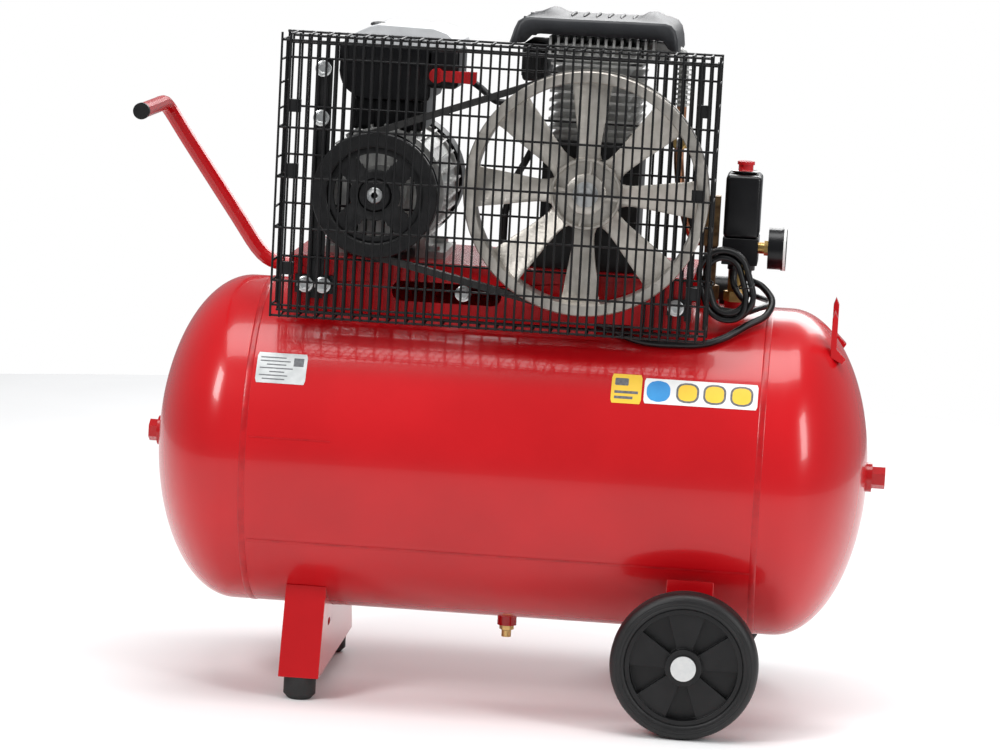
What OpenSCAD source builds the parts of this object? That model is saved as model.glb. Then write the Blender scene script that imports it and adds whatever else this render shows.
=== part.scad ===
// Belt-driven twin-cylinder air compressor on a wheeled horizontal tank.
// Millimetres. X runs along the tank (handle at -X, wheels at +X), -Y is the belt guard side,
// +Z is up. The origin is on the floor, under the middle of the machine's outline.

/* [Tank] */
// Outside diameter of the air tank
tank_d = 400; // [390:1:405]
// Length of the barrel between its two head seams
barrel_len = 612; // [600:2:640]
// Depth of each domed head, straight flange included
head_depth = 129; // [115:1:135]
// Thickness of the tank's sheet
tank_wall = 3; // [2:0.5:4]
// Height of the tank's axis above the floor
tank_z = 293; // [290:1:300]

/* [Base plate] */
// Height of the base plate's top above the floor
plate_z = 535; // [533:1:540]
// Left end of the base plate, from the middle of the tank
plate_x0 = -273; // [-275:1:-262]
// Right end of the base plate, from the middle of the tank
plate_x1 = 212; // [200:1:212]
// Half of the base plate's depth, flanges included
plate_half = 109.5; // [108:0.5:110]
// Thickness of the folded steel
sheet = 4; // [3:0.5:5]

/* [Running gear] */
// Outside diameter of a tyre
wheel_d = 176; // [170:1:176]
// Width of a tyre
wheel_w = 38; // [34:1:40]
// Distance of the axle from the middle of the tank
wheel_x = 233; // [225:1:240]
// Distance of each wheel's outer face from the tank's axis
wheel_y = 229; // [226:1:235]
// Distance of the foot bracket from the middle of the tank
foot_x = -232; // [-240:1:-225]

/* [Handle] */
// Outside diameter of the handle's tube
handle_d = 19; // [18:0.5:22]

/* [Drive] */
// Outside diameter of the flywheel
flywheel_d = 290; // [280:1:290]
// Outside diameter of the motor's pulley
pulley_d = 150; // [140:1:150]
// Width of the belt
belt_w = 12.6; // [11:0.2:12.6]
// Distance of the crankshaft from the middle of the tank
crank_x = 82.4; // [81:0.2:82.4]
// Height of the crankshaft above the floor
crank_z = 633; // [632:1:634]
// Distance of the motor's shaft from the middle of the tank
motor_x = -168; // [-170:1:-166]
// Height of the motor's shaft above the floor
motor_z = 616; // [615:1:618]

/* [Guard] */
// Diameter of the guard's wire
wire = 3; // [2.5:0.1:3.2]
// Left side of the guard
guard_x0 = -283.5; // [-286:0.5:-282]
// Right side of the guard
guard_x1 = 232.5; // [232:0.5:233]
// Bottom of the guard
guard_z0 = 468; // [468:1:470]
// Top of the guard
guard_z1 = 802.5; // [800:0.5:804]
// Number of upright wires across the front
wire_count = 49; // [47:1:51]

/* [Hidden] */
$fn = 64;

red = "#b80f14";
black = "#1c1c1e";
cast_grey = "#8f897f";
zinc = "#c4c8ca";
brass = "#b58b3a";
pale_grey = "#c9ccce";

tank_r = tank_d / 2;
seam_x = barrel_len / 2;
tank_end = seam_x + head_depth;

// Plugs in the heads, and the ports they close
port_r = 10;
boss_r = 18;
boss_out = 6;
left_plug = 11;
right_plug = 16;
right_reach = tank_end + boss_out + right_plug;

// Handle route: under the plate's left end, up, and across
handle_r = handle_d / 2;
handle_back = 85;
handle_front = -84;
bar_x = -463;
bar_z = 694;
grip_len = 6;
left_reach = bar_x - handle_r - 0.6;

// Front and rear reach of the machine
cap_out = 4.5;

mid_x = (left_reach - right_reach) / 2 + right_reach;

module placed() { translate([-mid_x, 0, 0]) children(); }

module block(x, y, z) {
    translate([x[0], y[0], z[0]]) cube([x[1] - x[0], y[1] - y[0], z[1] - z[0]]);
}
module rod_x(y, z, x0, x1, r) { translate([x0, y, z]) rotate([0, 90, 0]) cylinder(r = r, h = x1 - x0); }
module rod_y(x, z, y0, y1, r) { translate([x, y1, z]) rotate([90, 0, 0]) cylinder(r = r, h = y1 - y0); }
module rod_z(x, y, z0, z1, r) { translate([x, y, z0]) cylinder(r = r, h = z1 - z0); }
module ring_y(x, z, y0, y1, r, bore) {
    difference() {
        rod_y(x, z, y0, y1, r);
        rod_y(x, z, y0 - 1, y1 + 1, bore);
    }
}
// Extrudes an outline drawn in the XZ plane from y0 to y1
module slab_y(y0, y1) { translate([0, y1, 0]) rotate([90, 0, 0]) linear_extrude(y1 - y0) children(); }
// Extrudes an outline drawn in the YZ plane from x0 to x1
module slab_x(x0, x1) { translate([x0, 0, 0]) rotate([90, 0, 90]) linear_extrude(x1 - x0) children(); }
module rounded_rect(x, z, r) {
    hull() for (i = [0, 1], j = [0, 1])
        translate([x[i] + (i == 0 ? r : -r), z[j] + (j == 0 ? r : -r)]) circle(r, $fn = 32);
}
// Hexagon head facing -Y, its shank running back in +Y
module bolt_y(x, z, y, head_r = 7.5, head_h = 5.5, shank_r = 4, shank = 14) {
    translate([x, y, z]) rotate([90, 0, 0]) cylinder(r = head_r, h = head_h, $fn = 6);
    rod_y(x, z, y, y + shank, shank_r);
}
// Hexagon head facing +Z, its shank running down
module bolt_z(x, y, z, head_r = 7.5, head_h = 5.5, shank_r = 4, shank = 16) {
    translate([x, y, z]) cylinder(r = head_r, h = head_h, $fn = 6);
    rod_z(x, y, z - shank, z, shank_r);
}

// A round tube swept along a smooth route
function unit(v) = v / norm(v);
function spline_point(a, b, c, d, t) =
    0.5 * (2 * b + (c - a) * t + (2 * a - 5 * b + 4 * c - d) * t * t + (3 * b - a - 3 * c + d)
        * t * t * t);
function smooth(p, steps) = [
    for (i = [0 : len(p) - 2], s = [0 : steps - 1])
        spline_point(p[max(i - 1, 0)], p[i], p[i + 1], p[min(i + 2, len(p) - 1)], s / steps),
    p[len(p) - 1]
];
function heading(p, i) = unit(p[min(i + 1, len(p) - 1)] - p[max(i - 1, 0)]);
function side_vectors(p, i, last) =
    i == len(p) ? [] :
    let (t = heading(p, i), s = unit(last - (last * t) * t))
    concat([s], side_vectors(p, i + 1, s));
module sweep(p, r, sides = 8, side = [0, 1, 0]) {
    n = len(p);
    s = side_vectors(p, 0, side);
    points = [
        for (i = [0 : n - 1], k = [0 : sides - 1])
            let (t = heading(p, i), a = 360 * k / sides)
            p[i] + r * (cos(a) * s[i] + sin(a) * cross(t, s[i]))
    ];
    walls = [
        for (i = [0 : n - 2], k = [0 : sides - 1])
            let (a = i * sides + k, b = i * sides + (k + 1) % sides)
            each [[a, a + sides, b], [b, a + sides, b + sides]]
    ];
    polyhedron(
        points = points,
        faces = concat(walls, [[for (k = [0 : sides - 1]) k]],
            [[for (k = [sides - 1 : -1 : 0]) (n - 1) * sides + k]])
    );
}

cable_r = 4.2;
mains_r = 3.5;

// ---- Tank ----

head_flange = 25;
head_steps = 14;
function dome(r, flat, deep) = [
    for (i = [0 : head_steps]) let (a = 90 * i / head_steps) [r * cos(a), flat + deep * sin(a)]
];
module dome_shell() {
    outer = dome(tank_r, head_flange, head_depth - head_flange);
    inner = dome(tank_r - tank_wall, head_flange, head_depth - head_flange - tank_wall);
    difference() {
        rotate_extrude() polygon(concat([[0, 0], [tank_r, 0]], outer));
        translate([0, 0, -1])
            rotate_extrude() polygon(concat([[0, 0], [tank_r - tank_wall, 0]],
                [for (q = inner) q + [0, 1]]));
        cylinder(r = boss_r, h = head_depth + 5);
    }
}
// Welded ports on the barrel: distance along the tank, height of the face above the axis
manifold_port = [262, 206];
check_port = [228, 206];
drain_x = 4;
drain_face = 228;

module tank_barrel() {
    color(red) placed() difference() {
        rod_x(0, tank_z, -seam_x, seam_x, tank_r);
        rod_x(0, tank_z, -seam_x - 1, seam_x + 1, tank_r - tank_wall);
        rod_z(manifold_port[0], 0, tank_z, tank_z + tank_r + 5, 14);
        rod_z(check_port[0], 0, tank_z, tank_z + tank_r + 5, 14);
        rod_z(drain_x, 0, tank_z - tank_r - 5, tank_z, 12);
    }
}
module tank_head_left() {
    color(red) placed() translate([-seam_x, 0, tank_z]) rotate([0, -90, 0]) dome_shell();
}
module tank_head_right() {
    color(red) placed() translate([seam_x, 0, tank_z]) rotate([0, 90, 0]) dome_shell();
}
module tank_bosses() {
    color(red) placed() {
        for (s = [-1, 1]) difference() {
            if (s < 0) rod_x(0, tank_z, -tank_end - boss_out, -tank_end + 8, boss_r);
            else rod_x(0, tank_z, tank_end - 8, tank_end + boss_out, boss_r);
            rod_x(0, tank_z, s * tank_end - 20, s * tank_end + 20, port_r);
        }
        for (p = [manifold_port, check_port]) difference() {
            rod_z(p[0], 0, tank_z + tank_r - 8, tank_z + p[1], 14);
            rod_z(p[0], 0, tank_z + tank_r - 12, tank_z + p[1] + 1, port_r);
        }
        difference() {
            rod_z(drain_x, 0, tank_z - drain_face + 14, tank_z - tank_r + 8, 12);
            rod_z(drain_x, 0, tank_z - drain_face, tank_z - tank_r + 12, 6);
        }
    }
}
module tank_plugs() {
    color(red) placed() for (s = [-1, 1]) mirror([s < 0 ? 1 : 0, 0, 0]) {
        face = tank_end + boss_out;
        translate([face, 0, tank_z]) rotate([0, 90, 0])
            cylinder(r = 13.5, h = s < 0 ? left_plug : right_plug, $fn = 6);
        rod_x(0, tank_z, face - 14, face, port_r);
    }
}
drain_z = tank_z - drain_face + 14;
module drain_body() {
    color(brass) placed() difference() {
        union() {
            translate([drain_x, 0, drain_z - 6]) cylinder(r = 9, h = 6, $fn = 6);
            rod_z(drain_x, 0, drain_z, drain_z + 12, 6);
        }
        rod_z(drain_x, 0, drain_z - 7, drain_z + 13, 3.05);
    }
}
module drain_screw() {
    color(brass) placed() {
        rod_z(drain_x, 0, drain_z - 15, drain_z - 7, 6);
        rod_z(drain_x, 0, drain_z - 7, drain_z + 8, 3);
    }
}

// ---- Base plate ----

plate_under = plate_z - sheet;
flange_bottom = tank_z + sqrt(tank_r * tank_r - plate_half * plate_half);
slot_x = [-147, -15];
slot_z = [487, 511];
// Notch in the front flange's lower edge, and the hole in the top, that the motor's lead goes through
notch_x = [100, 142];
lead_hole = [-20, -62];
bolt_r = 3;
motor_feet = [for (x = [-62.5, 62.5], y = [-50, 50]) [motor_x + x, y]];
pump_feet = [for (x = [-74, 74], y = [-70, 50]) [crank_x + x, y]];
// Bolts that clamp the guard to the plate's flange, between its upright wires
guard_bolts = [[-251, 501], [-229.5, 501], [194.5, 500]];
strut_bolts = [[-240.5, 701], [-240.5, 760]];
slot_bolt = [-61, 500];
module base_plate() {
    color(red) placed() difference() {
        union() {
            block([plate_x0, plate_x1], [-plate_half, plate_half], [plate_under, plate_z]);
            for (s = [-1, 1])
                block([plate_x0, plate_x1], s < 0 ? [-plate_half, sheet - plate_half] :
                    [plate_half - sheet, plate_half],
                    [flange_bottom - 6, plate_z - 1]);
        }
        rod_x(0, tank_z, plate_x0 - 1, plate_x1 + 1, tank_r);
        slab_y(-plate_half - 1, sheet - plate_half + 1) rounded_rect(slot_x, slot_z, 11.9);
        block(notch_x, [-plate_half - 1, sheet - plate_half + 1],
            [flange_bottom - 7, flange_bottom + 14]);
        rod_z(lead_hole[0], lead_hole[1], plate_under - 1, plate_z + 1, 7);
        for (p = concat(motor_feet, pump_feet)) rod_z(p[0], p[1], plate_under - 1, plate_z + 1, 4);
        for (p = concat(guard_bolts, [slot_bolt]))
            rod_y(p[0], p[1], -plate_half - 1, sheet - plate_half + 1, bolt_r);
    }
}

// ---- Feet and wheels ----

foot_half = 24.5;
foot_y = 160;
foot_top = 28;
module bracket_web(y_low, z_low, y_high, z_high) {
    polygon([[-y_low, z_low], [y_low, z_low], [y_high, z_high], [-y_high, z_high]]);
}
// Folded channel across the tank's underside: two webs, closed by a leg plate at each end
module channel_bracket(x0, x1, y_low, z_low, y_high, z_high, wall = 4) {
    difference() {
        union() {
            for (x = [x0, x1 - wall]) slab_x(x, x + wall) bracket_web(y_low, z_low, y_high, z_high);
            for (s = [-1, 1]) slab_x(x0, x1)
                polygon([[s * y_low, z_low], [s * (y_low - wall), z_low],
                    [s * (y_high - wall), z_high], [s * y_high, z_high]]);
        }
        rod_x(0, tank_z, x0 - 1, x1 + 1, tank_r);
    }
}
foot_pad_y = 140;
module foot_bracket() {
    color(red) placed() {
        difference() {
            channel_bracket(foot_x - foot_half, foot_x + foot_half, foot_y, foot_top, 118, 150);
            slab_x(foot_x, foot_x + foot_half + 1) rounded_rect([-90, -72], [80, 88], 3.9);
        }
        for (s = [-1, 1]) difference() {
            block([foot_x - foot_half + 4, foot_x + foot_half - 4],
                [s * foot_pad_y - 18, s * foot_pad_y + 18], [foot_top, foot_top + 4]);
            rod_z(foot_x, s * foot_pad_y, foot_top - 1, foot_top + 5, 4);
        }
    }
}
module rubber_feet() {
    color(black) placed() for (s = [-1, 1]) translate([foot_x, s * foot_pad_y, 0]) difference() {
        rotate_extrude() polygon([[0, 0], [14, 0], [19.5, 6], [19.5, foot_top], [0, foot_top]]);
        translate([0, 0, 10]) cylinder(r = 4, h = foot_top);
    }
}
axle_r = 8;
wheel_r = wheel_d / 2;
axle_z = wheel_r;
hub_w = wheel_w + 2;
bracket_y = 166;
module wheel_bracket() {
    color(red) placed() difference() {
        channel_bracket(wheel_x - 28, wheel_x + 28, bracket_y, 70, bracket_y, 190);
        rod_y(wheel_x, axle_z, -bracket_y - 1, bracket_y + 1, axle_r);
    }
}
// Stub axle: nut inside the bracket, spacer, plain journal and a pressed cap outside the wheel
module stub_axles() {
    color(zinc) placed() for (s = [0, 1]) mirror([0, s, 0]) {
        rod_y(wheel_x, axle_z, -wheel_y - 1, 12 - bracket_y, axle_r);
        ring_y(wheel_x, axle_z, hub_w - wheel_y + 0.5, -bracket_y, 13, axle_r);
        translate([wheel_x, 14 - bracket_y, axle_z]) rotate([90, 0, 0]) difference() {
            cylinder(r = 14, h = 10, $fn = 6);
            translate([0, 0, -1]) cylinder(r = axle_r, h = 12);
        }
        rod_y(wheel_x, axle_z, -wheel_y - cap_out, -wheel_y - 1, 15);
    }
}
rim_r = 70;
vane_count = 5;
module wheel() {
    difference() {
        union() {
            ring_y(0, 0, -wheel_y, hub_w - wheel_y, 22, axle_r + 0.05);
            ring_y(0, 0, 3 - wheel_y, wheel_w - 1 - wheel_y, rim_r, rim_r - 6);
            ring_y(0, 0, 17 - wheel_y, 21 - wheel_y, rim_r - 5, 21);
            for (i = [0 : vane_count - 1]) rotate([0, 360 * i / vane_count, 0])
                slab_y(8 - wheel_y, 18 - wheel_y)
                    polygon([[-9, 20], [9, 20], [23, rim_r - 5], [-23, rim_r - 5]]);
        }
        rod_y(0, 0, -wheel_y - 1, hub_w - wheel_y + 1, axle_r + 0.05);
    }
}
module tyre() {
    translate([0, wheel_w / 2 + 1 - wheel_y, 0]) rotate([90, 0, 0]) rotate_extrude() polygon([
        [rim_r, 16 - wheel_w / 2 - 14], [rim_r + 8, -wheel_w / 2], [wheel_r - 4, 4 - wheel_w / 2],
        [wheel_r, 9 - wheel_w / 2], [wheel_r, wheel_w / 2 - 9], [wheel_r - 4, wheel_w / 2 - 4],
        [rim_r + 8, wheel_w / 2], [rim_r, wheel_w / 2 - 2]
    ]);
}
module wheel_front() { color(black) placed() translate([wheel_x, 0, axle_z]) wheel(); }
module wheel_rear() { color(black) placed() translate([wheel_x, 0, axle_z]) mirror([0, 1, 0]) wheel(); }
module tyre_front() { color(black) placed() translate([wheel_x, 0, axle_z]) tyre(); }
module tyre_rear() { color(black) placed() translate([wheel_x, 0, axle_z]) mirror([0, 1, 0]) tyre(); }

// ---- Handle and hooks ----

handle_route = [
    [-225, 85, 500], [-262, 85, 500], [-300, 85, 500], [-322, 85, 504], [-340, 85, 518],
    [-365, 85, 553], [-400, 85, 602], [-435, 85, 651], [-453, 83, 678], [-461, 74, 691],
    [-463, 58, 694], [-463, 30, 694], [-463, -20, 694], [-463, -84, 694]
];
module handle_tube() {
    color(red) placed() {
        sweep(smooth(handle_route, 3), handle_r, 12);
        // Saddle between the tube and the tank
        difference() {
            block([-258, -228], [handle_back - 6, handle_back + 6], [470, 500 - handle_r + 0.6]);
            rod_x(0, tank_z, -300, -200, tank_r);
        }
    }
}
module handle_grips() {
    color(black) placed() {
        rod_y(bar_x, bar_z, handle_front - grip_len, handle_front, handle_r + 0.6);
    }
}
hook_y = 72;
module cable_hooks() {
    color(red) placed() for (s = [-1, 1]) difference() {
        slab_y(s * hook_y - 8, s * hook_y + 8)
            polygon([[381, 452], [381, 494], [384, 503], [388, 494], [388, 458], [400, 446],
                [396, 440], [380, 448]]);
        translate([seam_x, 0, tank_z]) rotate([0, 90, 0])
            rotate_extrude() polygon(concat([[0, 0], [tank_r, 0]],
                dome(tank_r, head_flange, head_depth - head_flange)));
    }
}

// ---- Belt guard ----

strut_t = 4;
guard_rear = -plate_half - strut_t - wire / 2;
guard_front = guard_rear - 60;
wire_pitch = (guard_x1 - guard_x0) / (wire_count - 1);
half_wire = wire / 2;
front_rails = [guard_z0, 480.5, 509.7, 573, 633, 692, 795];
rear_rails = [guard_z0, 533.5, 597.4, 656, 713.8, 771.7, 789.5, guard_z1];
// Clear window round the motor's shaft, and the open stretch behind the flywheel
shaft_window = [motor_x - 32, motor_x + 36];
open_stretch = [-100, 150];
function wire_x(i) = guard_x0 + i * wire_pitch;
module upright(x, y, z0, z1)
    { block([x - half_wire, x + half_wire], [y - half_wire, y + half_wire], [z0, z1]); }
module rail(z, y, x0, x1)
    { block([x0, x1], [y - half_wire, y + half_wire], [z - half_wire, z + half_wire]); }
module guard_front_panel() {
    color(black) placed() union() {
        for (i = [0 : wire_count - 1])
            upright(wire_x(i), guard_front, guard_z0 - half_wire, guard_z1 + half_wire);
        for (z = front_rails)
            rail(z, guard_front + wire - 0.3, guard_x0 - half_wire, guard_x1 + half_wire);
    }
}
// The left stretch's wires stand between the front panel's, so that the bolts pass beside them
left_phase = wire_pitch / 2;
left_wires = concat([guard_x0], [for (x = [guard_x0 + left_phase : wire_pitch : open_stretch[0]]) x]);
right_wires = [for (i = [0 : wire_count - 1]) if (wire_x(i) > open_stretch[1]) wire_x(i)];
function in_window(x) = x > shaft_window[0] && x < shaft_window[1];
window_wires = [for (x = left_wires) if (in_window(x)) x];
module guard_rear_panel() {
    color(black) placed() union() {
        for (x = concat(left_wires, right_wires)) {
            if (in_window(x)) {
                upright(x, guard_rear, guard_z0 - half_wire, rear_rails[2]);
                upright(x, guard_rear, rear_rails[4], guard_z1 + half_wire);
            } else upright(x, guard_rear, guard_z0 - half_wire, guard_z1 + half_wire);
        }
        for (z = rear_rails) {
            y = guard_rear - wire + 0.3;
            if (z == rear_rails[3]) {
                rail(z, y, guard_x0 - half_wire, min(window_wires) - wire_pitch + half_wire);
                rail(z, y, max(window_wires) + wire_pitch - half_wire, guard_x1 + half_wire);
            } else rail(z, y, guard_x0 - half_wire, guard_x1 + half_wire);
        }
    }
}
// Wires that run back from the front panel to the rear one, one flat wall on each side
rim_y0 = guard_front + half_wire + wire - 0.3;
rim_y1 = guard_rear - half_wire - wire + 0.3;
rim_mid = (guard_front + guard_rear) / 2;
side_wires = [480.5, 509.7, 533.5, 573, 597.4, 633, 656, 692, 713.8, 744, 771.7, 795];
module rim_wall_flat(z) {
    s = z > crank_z ? 1 : -1;
    y0 = s > 0 ? guard_front + half_wire : rim_y0;
    for (i = [1 : 2 : wire_count - 2])
        block([wire_x(i) - half_wire, wire_x(i) + half_wire], [y0, rim_y1],
            [z - half_wire, z + half_wire]);
    for (y = [rim_mid - 4, rim_mid + 4])
        block([wire_x(1) - half_wire, wire_x(wire_count - 2) + half_wire],
            [y - half_wire, y + half_wire],
            s > 0 ? [z - half_wire - wire + 0.3, z - half_wire + 0.3] :
                [z + half_wire - 0.3, z + half_wire + wire - 0.3]);
}
module rim_wall_side(x) {
    s = x > 0 ? -1 : 1;
    for (z = side_wires)
        block([x - half_wire, x + half_wire], [rim_y0, rim_y1], [z - half_wire, z + half_wire]);
    for (y = [rim_mid - 4, rim_mid + 4])
        block(s > 0 ? [x + half_wire - 0.3, x + half_wire + wire - 0.3] :
            [x - half_wire - wire + 0.3, x - half_wire + 0.3],
            [y - half_wire, y + half_wire], [480, 796]);
}
module guard_rim() {
    color(black) placed() {
        rim_wall_flat(guard_z0);
        rim_wall_flat(guard_z1);
        rim_wall_side(guard_x0);
        rim_wall_side(guard_x1);
    }
}
// Clips behind the front panel, near its left and right sides
clip_half = 7.5;
clip_y = [guard_front + half_wire, guard_front + 9];
clip_inset = 17.5;
left_clips = [718, 642, 525];
right_clips = [739, 639, 524];
module guard_clips() {
    color(black) placed() difference() {
        for (s = [0, 1]) for (z = s == 0 ? left_clips : right_clips) {
            x = s == 0 ? guard_x0 + clip_inset : guard_x1 - clip_inset;
            block([x - clip_half, x + clip_half], clip_y, [z - clip_half, z + clip_half]);
        }
        for (z = front_rails) rail(z, guard_front + wire - 0.3, guard_x0, guard_x1);
    }
}
strut_y = [-plate_half - strut_t, -plate_half];
left_strut = [-247, -230];
right_strut = [205, 213];
module guard_struts() {
    color(black) placed() difference() {
        union() {
            block(left_strut, strut_y, [484, 772]);
            block([-264, -218], strut_y, [490, 512]);
            block(right_strut, strut_y, [484, 793]);
            block([184, 213], strut_y, [490, 510]);
        }
        for (p = concat(guard_bolts, strut_bolts))
            rod_y(p[0], p[1], strut_y[0] - 1, strut_y[1] + 1, bolt_r);
    }
}
module fixing_bolts() {
    color(zinc) placed() {
        for (p = concat(guard_bolts, strut_bolts)) {
            rod_y(p[0], p[1], rim_y1, guard_rear - half_wire, 9);
            bolt_y(p[0], p[1], rim_y1, 7.5, 5, bolt_r, strut_y[1] + 6 - rim_y1);
        }
        bolt_y(slot_bolt[0], slot_bolt[1], -plate_half, 7.5, 5, bolt_r, 10);
        for (p = motor_feet) bolt_z(p[0], p[1], plate_z + 8, 7.5, 5.5, 4, 20);
        for (p = pump_feet) bolt_z(p[0], p[1], plate_z + 10, 7.5, 5.5, 4, 22);
        for (s = [-1, 1]) bolt_z(foot_x, s * foot_pad_y, foot_top + 4, 6.5, 4, 4, 16);
    }
}

// ---- Belt drive ----

belt_y = -144;
belt_t = 8;
groove_gap = 0.5;
pulley_groove = pulley_d / 2 - belt_t - 0.6;
flywheel_groove = flywheel_d / 2 - belt_t - 0.6;
module belt_outline(grow) {
    hull() {
        translate([motor_x, motor_z]) circle(pulley_groove + grow, $fn = 96);
        translate([crank_x, crank_z]) circle(flywheel_groove + grow, $fn = 160);
    }
}
module drive_belt() {
    color(black) placed() slab_y(belt_y - belt_w / 2, belt_y + belt_w / 2) difference() {
        belt_outline(0.5 + belt_t);
        belt_outline(0.5);
    }
}
// Rim with a groove that the belt sits in
module grooved_rim(x, z, y0, y1, r, inner) {
    difference() {
        rod_y(x, z, y0, y1, r);
        rod_y(x, z, y0 - 1, y1 + 1, inner);
        ring_y(x, z, belt_y - belt_w / 2 - groove_gap, belt_y + belt_w / 2 + groove_gap, r + 2,
            r - belt_t - 0.6);
    }
}
shaft_r = 9.5;
pulley_y = [-158, -130];
module motor_pulley() {
    color(black) placed() {
        grooved_rim(motor_x, motor_z, pulley_y[0], pulley_y[1], pulley_d / 2, 57);
        ring_y(motor_x, motor_z, pulley_y[0] + 2, pulley_y[1], 20, shaft_r);
        difference() {
            ring_y(motor_x, motor_z, -148, -140, 57.3, 19.7);
            for (a = [0 : 90 : 270]) translate([motor_x, -144, motor_z]) rotate([0, a, 0])
                translate([-20, -6, 27]) cube([40, 12, 22]);
        }
    }
}
journal_r = 12;
module rotor() {
    color(zinc) placed() {
        rod_y(motor_x, motor_z, -155, -106, shaft_r);
        rod_y(motor_x, motor_z, -106, 118, journal_r);
        ring_y(motor_x, motor_z, -48, 42, 44.5, journal_r);
    }
}
fan_y = [98, 112];
module cooling_fan() {
    color(black) placed() {
        ring_y(motor_x, motor_z, fan_y[0], fan_y[1], 18, journal_r);
        ring_y(motor_x, motor_z, fan_y[0], fan_y[0] + 2.5, 60, 17.7);
        for (i = [0 : 8]) translate([motor_x, 0, motor_z]) rotate([0, 40 * i, 0])
            block([17, 60], [fan_y[0] + 2.2, fan_y[1]], [-1.2, 1.2]);
    }
}
housing_y = [-84, 78];
housing_r = 72;
module stator() {
    color("#8a5a3a") placed() {
        ring_y(motor_x, motor_z, -48, 42, housing_r - 6, 45);
        for (y = [[-66, -48], [42, 60]]) ring_y(motor_x, motor_z, y[0], y[1], 62, 47);
    }
}
fin_count = 30;
module motor_housing() {
    color(pale_grey) placed() difference() {
        union() {
            rod_y(motor_x, motor_z, housing_y[0], housing_y[1], housing_r);
            for (i = [0 : fin_count - 1]) translate([motor_x, 0, motor_z])
                rotate([0, 360 * (i + 0.5) / fin_count, 0])
                block([housing_r - 2, housing_r + 7.5], [housing_y[0] + 3, housing_y[1] - 3],
                    [-1.2, 1.2]);
            for (s = [-1, 1]) {
                block([motor_x + s * 62.5 - 16, motor_x + s * 62.5 + 16], [-64, 64],
                    [plate_z, plate_z + 8]);
                block([motor_x + s * 48 - 6, motor_x + s * 48 + 6], [-64, 64], [plate_z, motor_z - 40]);
            }
        }
        rod_y(motor_x, motor_z, housing_y[0] - 1, housing_y[1] + 1, housing_r - 6);
        for (p = motor_feet) rod_z(p[0], p[1], plate_z - 1, plate_z + 9, 4);
        block([motor_x - 45, motor_x + 45], [-70, 70], [motor_z + 68, motor_z + 90]);
    }
}
module end_shields() {
    color(pale_grey) placed() for (s = [0, 1]) {
        y = s == 0 ? [-100, housing_y[0]] : [housing_y[1], 94];
        seat = s == 0 ? [-94, -80] : [74, 88];
        difference() {
            union() {
                rod_y(motor_x, motor_z, y[0] + (s == 0 ? 6 : 0), y[1] - (s == 0 ? 0 : 6),
                    housing_r + 4);
                rod_y(motor_x, motor_z, min(y[0], seat[0]), max(y[1], seat[1]), 32);
            }
            rod_y(motor_x, motor_z, -120, 120, journal_r + 1);
            rod_y(motor_x, motor_z, seat[0], seat[1] + (s == 0 ? 1 : 0), 23.5);
            if (s == 1) rod_y(motor_x, motor_z, seat[0] - 1, seat[1], 23.5);
        }
    }
}
module fan_cowl() {
    color(black) placed() difference() {
        rod_y(motor_x, motor_z, 88, 130, housing_r + 8);
        rod_y(motor_x, motor_z, 87, 127, housing_r + 6);
        for (i = [-3 : 3]) translate([motor_x, 126, motor_z])
            block([-48 + abs(i) * 3, 48 - abs(i) * 3], [0, 5], [i * 15 - 3, i * 15 + 3]);
    }
}
bearing_r = 23.5;
crank_bearing_r = 30;
crank_r = 15;
crank_seats = [[-92, -76], [52, 66]];
module bearings() {
    color(zinc) placed() {
        for (y = [[-94, -80], [74, 88]])
            ring_y(motor_x, motor_z, y[0], y[1], bearing_r, journal_r + 0.05);
        for (y = crank_seats) ring_y(crank_x, crank_z, y[0], y[1], crank_bearing_r, crank_r + 0.05);
    }
}
box_x = [-226, -114];
box_y = [-92, 52];
box_z = [motor_z + 68, 790];
lead_start = [-86, -44, 752];
lever_x = -107;
lever_z = 758;
module terminal_box() {
    color(black) placed() difference() {
        union() {
            slab_y(box_y[0], box_y[1]) polygon([
                [box_x[0], box_z[1]], [box_x[0], 768], [box_x[0] + 5, 744], [box_x[0] + 14, 732],
                [box_x[0] + 28, 725], [box_x[1], 725], [box_x[1], box_z[1]]
            ]);
            block([motor_x - 44, motor_x + 44], [-66, 40], [box_z[0], 727]);
            slab_y(box_y[0], box_y[1] - 40) rounded_rect([box_x[1] - 12, -82], [742, 790], 10);
        }
        block([box_x[0] + 16, box_x[1] - 4], [box_y[0] + 4, box_y[1] - 4], [736, 800]);
        rod_y(lever_x, lever_z, box_y[0] - 1, box_y[0] + 3, 4);
        rod_x(lead_start[1], lead_start[2], lead_start[0] - 4, -81, cable_r);
    }
}
module terminal_box_lid() {
    color(pale_grey) placed() difference() {
        slab_y(box_y[0], box_y[1]) polygon([
            [-219, 790], [-215, 796], [-208, 803], [-199, 808], [-190, 812], [-181, 814.5],
            [-114, 813], [-98, 808], [-86, 798], [-82, 790]
        ]);
        block([box_x[0] + 20, box_x[1] - 4], [box_y[0] + 4, box_y[1] - 4], [789, 804]);
        for (i = [0 : 7]) block([-186 + i * 9.6, -182 + i * 9.6], [box_y[0] - 1, box_y[0] + 3],
            [797, 802]);
    }
}
module capacitors() {
    color(zinc) placed() {
        for (x = [-189, -148]) rod_y(x, 758, -80, 20, 19);
    }
}
module isolator_lever() {
    color(red) placed() {
        rod_y(lever_x, lever_z, box_y[0] - 9, box_y[0] - 1, 9);
        rod_y(lever_x, lever_z, box_y[0] - 2, box_y[0] + 3, 3.95);
        slab_y(box_y[0] - 9, box_y[0] - 3)
            polygon([[lever_x, lever_z + 6], [lever_x, lever_z - 6], [lever_x + 45, lever_z - 8],
                [lever_x + 48, lever_z - 5], [lever_x + 48, lever_z + 7]]);
    }
}

// ---- Pump ----

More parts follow.
